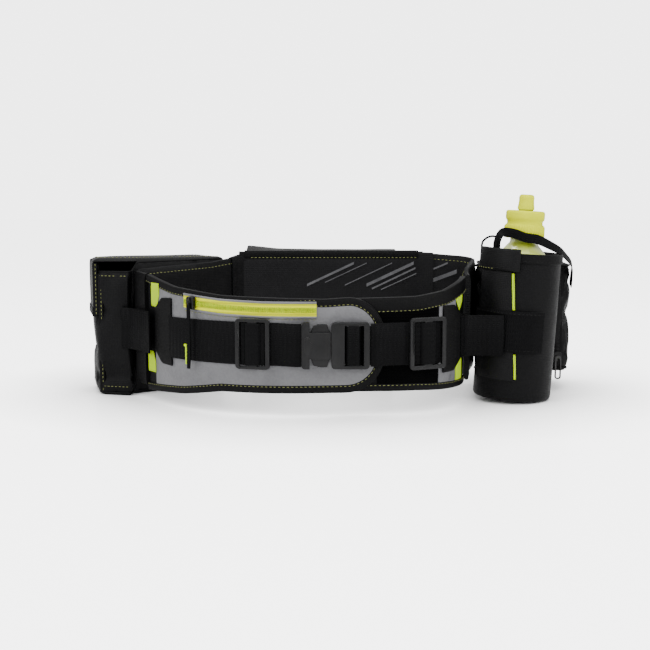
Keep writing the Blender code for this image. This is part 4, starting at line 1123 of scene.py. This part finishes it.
def buckle():
    """The side-release buckle and the webbing doubled through its plug."""
    bevelled("buckle_socket", "socket", ACETAL, "left_half", 0.0011, 4)
    bevelled("buckle_plug", "plug", ACETAL, "right_half", 0.0009, 4)
    bevelled("buckle_prong_upper", "prong_up", ACETAL, "prong_upper", 0.0007)
    bevelled("buckle_prong_lower", "prong_down", ACETAL, "prong_lower", 0.0007)
    for name, side, body in (("grip_up", 1, "prong_upper"), ("grip_down", -1, "prong_lower")):
        verts, faces = [], []
        for k in range(4):
            x = -0.0095 + k * 0.0028
            z = STRAP_Z + side * (0.0199 if k else 0.0188)
            first = len(verts)
            for dx, dz in ((-0.0007, 0), (0.0, 0.0007), (0.0007, 0)):
                for y in (-0.0096, -0.0066):
                    verts.append((x + dx, y, z + side * dz))
            for a, b in ((0, 1), (1, 2), (2, 0)):
                faces.append((first + 2 * a, first + 2 * b, first + 2 * b + 1, first + 2 * a + 1))
            faces.append((first, first + 2, first + 4))
            faces.append((first + 5, first + 3, first + 1))
        add_mesh(name, verts, faces, ACETAL, body)
    loop = [(0.0435, -0.0080), (0.0400, -0.0070), (0.0370, -0.0060), (0.0330, -0.0085), (0.0315, -0.0126),
            (0.0270, -0.0144), (0.0226, -0.0132),
            (0.0206, -0.0090), (0.0200, -0.0050)]
    curve = smooth_curve([Vector((x, y, STRAP_Z)) for x, y in loop], 4)
    outs = []
    for k in range(len(curve)):
        along = (curve[min(k + 1, len(curve) - 1)] - curve[max(k - 1, 0)]).normalized()
        outs.append(Vector((along.y, -along.x, 0)) * -1)
    flat_strip("plug_strap", curve, outs, 0.0185, 0.0012, WEBBING, "right_half")
    ring = [(0.0036 * math.cos(a), 0.0088 * math.sin(a)) for a in [2 * math.pi * k / 36 for k in range(36)]]
    rings = [[(-0.0165 + x * s, y, STRAP_Z + z * s) for x, z in ring] for s,
             y in ((1.0, -0.0124), (1.0, -0.0130), (0.86, -0.0134))]
    verts, faces = skin(rings)
    add_mesh("socket_boss", verts, faces, ACETAL, "left_half")


def left_pouch():
    """The left pouch, its bound rim and corner, and its lid with the hanging skirt."""
    shape = [(-0.2035, 0.108), (-0.2375, 0.1160), (-0.2540, 0.172), (-0.146, 0.235), (-0.110, 0.1875),
             (-0.2025, 0.1195)]

    def rim(p):
        near = max(0.0, min(1.0, (0.1235 - p[1]) / 0.004))
        return 0.1392 - 0.0092 * near
    pouch("side_bag", shape, 0.012, 0.0, 0.1392, PADDED, "left_half", ("left_pouch",),
          limit=0.0026, seed=5, wrinkle=0.0013, skirt=rim)
    piping("side_bag_piping", shape, 0.012, 0.0024, BINDING, "left_half", grow=-0.0010)
    piping("side_bag_rim", shape, 0.012, lambda p: rim(p) + 0.0002, BINDING, "left_half",
           0.0013, -0.0010)
    inner_a, inner_b = Vector((-0.2025, 0.1195)), Vector((-0.110, 0.1875))
    along = (inner_b - inner_a).normalized()
    out = Vector((-along.y, along.x))
    near_a = inner_a + along * 0.004 + out * 0.0015
    near_b = inner_b + out * 0.0015
    plate = outline_points([tuple(near_a), (-0.2410, 0.1133), (-0.2570, 0.1762), (-0.1462, 0.2400),
                            tuple(near_b)], 0.006, 0.005)
    normals = loop_normals(plate)

    def roof(p):
        return 0.1447 - 0.0035 * min(max((p[1] - 0.114) / 0.09, 0.0), 1.0)
    middle = sum((Vector((p[0], p[1], 0.0)) for p in plate), Vector()) / len(plate)

    def lid_ring(tuck, dz, share=0.0):
        edge = [Vector((p[0], p[1], 0.0)) - n * tuck for p, n in zip(plate, normals)]
        flat = [p.lerp(middle, share) for p in edge]
        return [Vector((p.x, p.y, roof(p) + dz)) for p in flat]
    under = [lid_ring(0.0052, -0.0044, share) for share in (0.92, 0.6, 0.3, 0.0)]
    edge = [lid_ring(tuck, dz) for tuck, dz in ((0.0016, -0.0044), (0.0, -0.0036), (0.0006, -0.0022),
                                                (0.0024, -0.0010), (0.0052, -0.0002))]
    crown = [lid_ring(0.0052, dz, share) for share, dz in ((0.12, 0.0004), (0.3, 0.0009), (0.6, 0.0013),
                                                           (0.92, 0.0015))]
    rings = under + edge + crown
    verts, faces = skin(rings)
    add_mesh("side_lid", verts, [tuple(reversed(f)) for f in faces], NYLON, "left_lid",
             [(v[0], v[1] + v[2]) for v in verts], angle=60,
             replaces=("left_pouch_lid",))
    lid_seam = [(Vector((p[0], p[1], roof(p) + 0.0001)) - n * 0.0052, (0, 0, 1)) for p,
                n in zip(plate, normals)]
    stitches("side_lid_stitches", [lid_seam], THREAD_PALE, "left_lid")
    flap = fillet_path([(-0.1462, 0.2405), (-0.2570, 0.1765), (-0.2410, 0.1175)], [0.012], 0.004)
    flap = [p for p in reversed(flap)]
    panel("side_skirt", flap, -0.0022, 0.0, 0.084, 0.1404, NYLON, "left_lid",
          keys=[p[1] for p in flap], puff_in=0.0, puff=0.0,
                crease=0.0009, replaces=("left_lid_skirt",), rows=14)
    frames = path_frames(flap)
    pts = [Vector((p.x, p.y, 0.0842)) for p, n, r in frames]
    outs = [Vector((-n.x, -n.y, 0)) for p, n, r in frames]
    sweep("side_skirt_binding", pts, [Vector((0, 0, 1))] * len(pts), outs,
          [(-0.0012, -0.0004), (-0.0012, 0.0026), (0.0, 0.0033), (0.008, 0.0030),
          (0.008, 0.0022), (0.008, 0.0), (0.008, -0.0008), (0.0, -0.0011)], BINDING, "left_lid")
    corner = [Vector((-0.2402, 0.1180, 0.0845 + 0.0545 * k / 14)) for k in range(15)]
    front = [Vector((0, -1, 0))] * 15
    sweep("side_skirt_front", corner, [Vector((1, 0, 0))] * 15, front,
          [(-0.0028, -0.0006), (-0.0028, 0.0012), (0.0018, 0.0012), (0.0018, -0.0006)],
          BINDING, "left_lid")
    edge_x, edge_y = -0.2348, 0.1166
    upright = [Vector((edge_x, edge_y, 0.004 + 0.124 * k / 30)) for k in range(31)]
    sweep("side_bag_corner", upright, [Vector((1, 0, 0))] * 31, [Vector((-0.35, -0.94, 0))] * 31,
          [(-0.0030, -0.0010), (-0.0026, 0.0006),
          (0.0022, 0.0008), (0.0026, -0.0006)], BINDING, "left_half")
    stitches("side_bag_corner_stitches", [[(p + Vector((0.0004, -0.0011, 0)),
                                            (-0.2, -1, 0)) for p in upright]], THREAD_PALE, "left_half")
    stitches("side_skirt_stitches", [[(p + Vector((0.0002, -0.0013, 0)), (0, -1, 0)) for p in corner]],
             THREAD_PALE, "left_lid")
    around = outline_points(shape, 0.012, 0.004)
    front_part = [p for p in around if p[1] < 0.128 and p[0] < -0.205]
    front_part.sort(key=lambda p: p[0])
    seam = [(Vector((p[0], p[1] - 0.0006, 0.1262)), (0, -1, 0)) for p in front_part]
    hem = [(Vector((p[0], p[1] - 0.0006, 0.0095)), (0, -1, 0)) for p in front_part]
    stitches("gusset_stitches", [seam, hem], THREAD_PALE, "left_half")


# ---------------------------------------------------------------- right half
def right_panels():
    """The right side pad and the inner wing with its pile patch, stripe and trims."""
    end_x = ARC_X + RIGHT_ARC_R
    path = fillet_path([(end_x - 0.0002, ARC_Y + 0.0010), (0.1470, 0.1150), RIGHT_CORNER,
                        (RIGHT_CREASE_X + 0.0006, REAR_Y)], [0.060, 0.013], 0.004)
    keys = [k / (len(path) - 1) for k in range(len(path))]
    high = ramp((0.0, 0.129), (0.4, 0.137), (1.0, 0.1455))
    obj = panel("right_side_pad", path, -0.0030, 0.0030, ramp((0.0, 0.020), (0.85, 0.0205), (1.0, 0.027)),
                high, PADDED, "right_half", keys=keys, puff_in=0.0010, puff=0.0004,
                crease=0.0008, replaces=("right_side_panel",), rows=20, seed=6, inside=LINING)
    frames = path_frames(path)
    run = [(Vector((p.x, p.y, high(k) - 0.006)) - Vector((n.x, n.y, 0)) * 0.0037, (-n.x, -n.y, 0)) for (p,
            n, r), k in zip(frames, keys)]
    stitches("right_side_stitches", [run], THREAD_PALE, "right_half")
    back = REAR_Y - 0.0045
    for name, x0, x1, z0, z1, w in (("stripe_d", 0.114, 0.146, 0.1130, 0.1250, 0.0022),
                                    ("stripe_e", 0.114, 0.136, 0.1250, 0.1345, 0.0010)):
        rings = [[(x0 + (x1 - x0) * k / 8, back - d, z0 + (z1 - z0) * k / 8 + s) for d,
                  s in ((0, -w), (0.0003, -w), (0.0003, w), (0, w))]
                 for k in range(9)]
        verts, faces = skin(rings)
        add_mesh(name, verts, faces, PRINT, "right_half")

    face = INNER_SET
    arc_end = end_x - 0.0004
    wing = front_path(INNER_WING_X, arc_end, 0.004)
    panel("inner_wing_pad", wing, face - WING_THICK, face, inner_low, inner_top, PADDED, "right_half",
          rows=14, replaces=("right_wing",),
          ends=False)
    panel("loop_area", front_path(0.0500, 0.1120, 0.004), face, face + 0.0012,
          lambda x: inner_low(x) + 0.006, lambda x: inner_top(x) - 0.006, PILE,
          "right_half", rows=12, crease=0.0002, replaces=("loop_patch",))
    panel("face_stripe", front_path(0.1128, 0.1318, 0.002), face, face + 0.0011,
          lambda x: inner_low(x) + 0.006, lambda x: inner_top(x) - 0.006, SATIN,
          "right_half", rows=12, crease=0.0002, replaces=("right_face_stripe",))
    panel("trim_right_upper", front_path(0.1326, 0.1402, 0.0012), face, face + 0.0012,
          ramp((0.1326, 0.108), (0.137, 0.0965), (0.1402, 0.104)),
          lambda x: inner_top(x) - 0.0055, NEON_TRIM, "right_half", rows=6,
          replaces=("right_trim_upper",), ends=False)
    panel("trim_right_lower", front_path(0.1326, 0.1402, 0.0012), face, face + 0.0012,
          lambda x: inner_low(x) + 0.0055,
          ramp((0.1326, 0.040), (0.137, 0.0510), (0.1402, 0.0500)), NEON_TRIM, "right_half",
          rows=6, replaces=("right_trim_lower",),
          ends=False)
    xs = [INNER_WING_X + (arc_end - INNER_WING_X) * math.sin(math.pi / 2 * k / 50) for k in range(51)]
    for name, edge, flip in (("inner_rim_top", inner_top, True), ("inner_rim_low", inner_low, False)):
        order = list(reversed(xs)) if flip else xs
        points = [on_front(x, edge(x), face) for x in order]
        deep = 0.0135 if flip else 0.0062
        edge_binding(name, points, [front_normal(x) for x in order], BINDING, "right_half",
                     deep, -WING_THICK, 0.0006,
                     THREAD_PALE, deep - 0.0012)


def right_strap():
    """The right tab, webbing and slide adjuster."""
    face = INNER_SET + 0.0014
    spread = ramp((0.1165, 0.0330), (0.1290, 0.0325), (0.1380, 0.0215), (0.1425, 0.0205))
    panel("tab_right", front_path(0.1165, 0.1425, 0.002), face, face + 0.0018,
          lambda x: STRAP_Z + 0.001 - spread(x),
          lambda x: STRAP_Z + 0.001 + spread(x), BINDING, "right_half", rows=12,
          replaces=("right_anchor_tab",), puff=0.0003)
    runs = [[(on_front(dx, STRAP_Z + z / 1000, face + 0.0021), front_normal(dx)) for z in range(-20, 21,
            4)] for dx in (0.1195, 0.1290)]
    stitches("tab_right_stitches", runs, THREAD_DARK, "right_half")
    sit = ramp((0.0425, 0.0072), (0.0480, 0.0072), (0.0640, 0.0017), (0.1125, 0.0017),
               (0.1180, face + 0.0004))
    xs = [0.0425 + 0.0755 * k / 40 for k in range(41)]
    flat_strip("strap_right", [on_front(x, STRAP_Z, sit(x)) for x in xs], [front_normal(x) for x in xs],
               WEB_HALF, 0.0016, WEBBING, "right_half",
               ("right_webbing",))
    bevelled("right_glide", "slide_right", ACETAL, "right_adjuster", 0.0007)
    bevelled("right_glide_webbing", "slide_right_strap", WEBBING, "right_adjuster", 0.0003)


BRIDGE = [(0.1335, 0.0500), (0.1400, 0.0575), (0.1480, 0.0600), (0.1580, 0.0600), (0.1680, 0.0580),
          (0.1780, 0.0558)]


def holster():
    """The leaning bottle holster with its sleeve, collar, band and piping."""
    r, w = HOLSTER_R, HOLSTER_R - 0.0026

    def soft(a, rad, z):
        if rad < 0.0385 or z < 0.006:
            return 0.0
        return 0.0005 * ripple((math.cos(a) * 0.04, math.sin(a) * 0.04, z), 34.0, 7) * min(1.0,
                (0.149 - z) / 0.02)
    cup = [(0.0002, 0.0), (r - 0.004, 0.0), (r - 0.0012, 0.0010),
           (r - 0.0003, 0.0030)] + [(r - 0.0002, 0.005 + 0.0065 * k) for k in range(22)]
    cup += [(r, 0.1478), (r - 0.0008, 0.1490), (w + 0.0008, 0.1490), (w, 0.1480), (w, 0.008),
            (w - 0.002, 0.004), (0.0002, 0.004)]
    turned("holster_cup", cup, PADDED, "right_half", 120, ("bottle_holster",), soft)
    round_panel("sleeve", r - 0.0002, r + 0.0034, 196, 260, 0.022, 0.131, NYLON, "right_half",
                ("holster_sleeve",), crease=0.0004, skew=125)
    round_panel("collar", r - 0.0002, r + 0.0050, 190, 258, 0.1315, 0.1540, NYLON, "right_half",
                ("holster_collar",), puff=0.0005,
                crease=0.0006, seed=8)
    for name, low, high, node in (("bead_upper", 0.0935, 0.1300, "sleeve_piping_upper"),
                                  ("bead_lower", 0.0240, 0.0490, "sleeve_piping_lower")):
        round_panel(name, r, r + 0.0036, 260.7, 263.6, low, high, NEON_TRIM, "right_half",
                    (node,), columns=6, skew=125, lean_all=True)
    round_panel("belly_band", r + 0.0036, r + 0.0052, 192, 296, 0.0510, 0.0925, WEBBING, "right_half",
                ("holster_band",), columns=50)
    bridge = smooth_curve([Vector((x, y, STRAP_Z + 0.0005)) for x, y in BRIDGE], 6)
    ways = [(bridge[min(k + 1, len(bridge) - 1)] - bridge[max(k - 1,
                                                              0)]).normalized() for k in range(len(bridge))]
    flat_strip("bridge_strap", bridge, [Vector((w.y, -w.x, 0)) for w in ways], WEB_HALF, 0.0016, WEBBING,
               "right_half")
    round_panel("holster_hem", r - 0.0004, r + 0.0012, 258, 540, 0.1400, 0.1500, BINDING, "right_half",
                columns=80)
    tilt = Matrix.Rotation(LEAN, 4, "Y")
    base = Vector((*HOLSTER_BASE, HOLSTER_R * math.sin(LEAN)))

    def ring_run(radius, z, first, last, steps=30):
        run = []
        for k in range(steps + 1):
            a = math.radians(first + (last - first) * k / steps)
            run.append((base + tilt @ Vector((radius * math.cos(a), radius * math.sin(a), z)),
                        tilt @ Vector((math.cos(a), math.sin(a), 0))))
        return run
    stitches("holster_stitches", [ring_run(r + 0.0014, 0.1425, 262, 535, 90),
                                  ring_run(r + 0.0058, 0.1345, 226, 254)], THREAD_DARK, "right_half")
    stitches("collar_stitches", [ring_run(r + 0.0060, 0.1335, 192, 226)], THREAD_PALE, "right_half")
    stitches("band_stitches", [ring_run(r + 0.0054, 0.0535, 195, 294, 40),
                               ring_run(r + 0.0054, 0.0900, 195, 294, 40)], THREAD_DARK, "right_half")


def bottle():
    """The squeeze bottle, its screw cap and its push-pull valve."""
    r, t = 0.0365, 0.0014
    seat = 0.0045
    outer = [(0.0002, seat), (r - 0.004, seat), (r - 0.001, seat + 0.001), (r, seat + 0.004)]
    outer += [(r, 0.02 + 0.01 * k) for k in range(11)]
    outer += [(r - 0.0003, 0.1250), (r - 0.0012, 0.1300), (0.0335, 0.1355), (0.0300, 0.1405),
              (0.0262, 0.1450), (0.0225, 0.1495), (0.0190, 0.1535),
              (0.0160, 0.1570), (0.0140, 0.1592), (0.0135, 0.1610), (0.0135, 0.1745)]
    inner = [(0.0121, 0.1745), (0.0121, 0.1600), (0.0210, 0.1492), (0.0285, 0.1400), (0.0345, 0.1300),
             (r - t, 0.120), (r - t, seat + 0.004),
             (0.0300, seat + t), (0.0002, seat + t)]
    turned("bottle_shell", outer + inner, BOTTLE, "bottle", 96, ("bottle_body",))
    spout = 0.0070
    cap = [(0.0196, 0.1640), (0.0203, 0.1648), (0.0204, 0.1700), (0.0202, 0.1755), (0.0196, 0.1772),
           (0.0182, 0.1782), (0.0179, 0.1800), (0.0183, 0.1818),
           (0.0194, 0.1832), (0.0197, 0.1850), (0.0197, 0.1895), (0.0192, 0.1912), (0.0180, 0.1920),
           (spout + 0.0014, 0.1922), (spout + 0.0003, 0.1914),
           (spout, 0.1900), (spout, 0.1765), (0.0040, 0.1765), (0.0040, 0.1750), (0.0138, 0.1750),
           (0.0138, 0.1640)]

    def ribs(a, rad, z):
        return 0.00035 * math.cos(48 * a) if rad > 0.0195 and z < 0.1765 else 0.0
    turned("cap_shell", cap, CAP, "cap", 288, ("bottle_cap",), ribs)
    valve = [(0.0002, 0.1785), (spout - 0.0003, 0.1785), (spout - 0.0003, 0.1922), (0.0076, 0.1926),
             (0.0084, 0.1934), (0.0085, 0.1950), (0.0079, 0.1990),
             (0.0076, 0.2030), (0.0078, 0.2050), (0.0072, 0.2072), (0.0058, 0.2084), (0.0030, 0.2085),
             (0.0020, 0.2078), (0.0020, 0.1985), (0.0002, 0.1985)]
    turned("valve_shell", valve, CAP, "valve", 64, ("bottle_valve",))


def retainer():
    """The elastic strap over the bottle's neck and a thin loop."""
    points = [(0.1722, 0.0745, 0.1560), (0.1728, 0.0752, 0.1640), (0.1775, 0.0770, 0.1722),
              (0.1880, 0.0770, 0.1722), (0.2010, 0.0762, 0.1678), (0.2140, 0.0778, 0.1655),
              (0.2290, 0.0860, 0.1590),
              (0.2405, 0.0950, 0.1530), (0.2490, 0.1060, 0.1465), (0.2570, 0.1200, 0.1395),
              (0.2625, 0.1370, 0.1320), (0.2655, 0.1520, 0.1235),
              (0.2660, 0.1580, 0.1120)]
    curve = smooth_curve([Vector(p) for p in points], 6)
    rings, uvs, run = [], [], 0.0
    for k, here in enumerate(curve):
        along = (curve[min(k + 1, len(curve) - 1)] - curve[max(k - 1, 0)]).normalized()
        axis_x = HOLSTER_BASE[0] + here.z * math.tan(LEAN)
        beside = min(max((here.y - 0.110) / 0.030, 0.0), 1.0)
        away = Vector((here.x - axis_x, (here.y - HOLSTER_BASE[1]) * (1.0 - beside), 0)).normalized()
        across = along.cross(away).normalized()
        out = across.cross(along).normalized()
        run += (here - curve[k - 1]).length if k else 0.0
        section = [(-0.0048, 0.0), (-0.0044, 0.0006), (0.0044, 0.0006), (0.0048, 0.0), (0.0044, -0.0006),
                   (-0.0044, -0.0006)]
        rings.append([here + across * a + out * b for a, b in section])
        uvs += [(a, run) for a, b in section]
    verts, faces = skin(rings)
    band = add_mesh("neck_strap", verts, faces, WEBBING, "right_half", uvs,
                    replaces=("neck_band",))
    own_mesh(band)
    arch = [(0.1578, 0.0800, 0.1585), (0.1592, 0.0795, 0.1640), (0.1640, 0.0770, 0.1682),
            (0.1700, 0.0745, 0.1690), (0.1722, 0.0735, 0.1650),
            (0.1715, 0.0738, 0.1585)]
    tube_piece("collar_loop", smooth_curve([Vector(p) for p in arch], 6), 0.0011, WEBBING, "right_half",
               replaces=("band_loop",))


def zip_pouch():
    """The zipped pouch behind the holster, with its tape, slider and wire pull."""
    shape = [(0.160, 0.143), (0.2625, 0.143), (0.2635, 0.213), (0.171, 0.213), (0.170, 0.181)]
    pouch("hip_bag", shape, 0.010, 0.021, 0.1364, PADDED, "right_half", ("zip_pouch",),
          opened=False, limit=0.0045, seed=3,
          wrinkle=0.0018)
    piping("hip_bag_piping_low", shape, 0.010, 0.0236, BINDING, "right_half", 0.0013,
           -0.0006)
    piping("hip_bag_piping_top", shape, 0.010, 0.1345, BINDING, "right_half", 0.0013,
           -0.0004)
    round_stitches("hip_bag_stitches", shape, 0.010, 0.1300, 0.0006, THREAD_DARK, "right_half")
    tape = [(0.2445, 0.1427), (0.2500, 0.1427), (0.2545, 0.1427)]
    panel("bag_zip_tape", tape, 0.0, 0.0012, 0.031, 0.133, BINDING, "right_half",
          keys=[0, 0.5, 1], rows=20, replaces=("pouch_zip_tape",),
          ends=False)
    run = [(Vector((0.2500, 0.1413, 0.033 + 0.098 * k / 20)), (0, -1, 0)) for k in range(21)]
    teeth("bag_zip_coil", run, ACETAL, "right_half", 0.0044, 0.0015, 0.0005)
    bevelled("pouch_zip_slider", "bag_slider", ENAMEL, "pouch_slider", 0.0008)
    bevelled("pouch_zip_pull", "bag_pull", STEEL, "pouch_pull", 0.0005)
    seams = [[(Vector((x, 0.1424, 0.030 + 0.102 * k / 20)), (0, -1,
                                                             0)) for k in range(21)] for x in (0.2425,
            0.2562)]
    stitches("bag_stitches", seams, THREAD_DARK, "right_half")


def creases():
    """Soft sleeves over the two folds beside the lumbar section."""
    for name, x, to, half, seed in (("left_crease", LEFT_CREASE_X, LEFT_FOLD, "left_half", 1),
                                    ("right_crease", RIGHT_CREASE_X, (0.166, 0.192), "right_half", 2)):
        side = -1 if x < 0 else 1
        crease = Vector((x, REAR_Y))
        to_belt = (Vector(to) - crease).normalized()
        a = crease + Vector((-side * 0.009, 0.0))
        b = crease + to_belt * 0.011
        ends = [tuple(a), tuple(crease), tuple(b)] if side < 0 else [tuple(b), tuple(crease), tuple(a)]
        path = fillet_path(ends, [0.012], 0.0012)
        high = ramp((-0.106, 0.1408), (-0.087, 0.1466)) if side < 0 else ramp((0.100, 0.1466),
                (0.120, 0.1456))
        obj = panel(name + "_sleeve", path, -0.0053, 0.0044, BELT_LOW + 0.001, high, PADDED, None,
                    rows=18, seed=seed, ends=False,
                    inside=PADDED if side < 0 else LINING)
        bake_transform(obj)


stage()
lumbar()
rear_pouch()
left_panels()
front_zip()
left_strap()
buckle()
left_pouch()
right_panels()
right_strap()
holster()
bottle()
retainer()
zip_pouch()
creases()
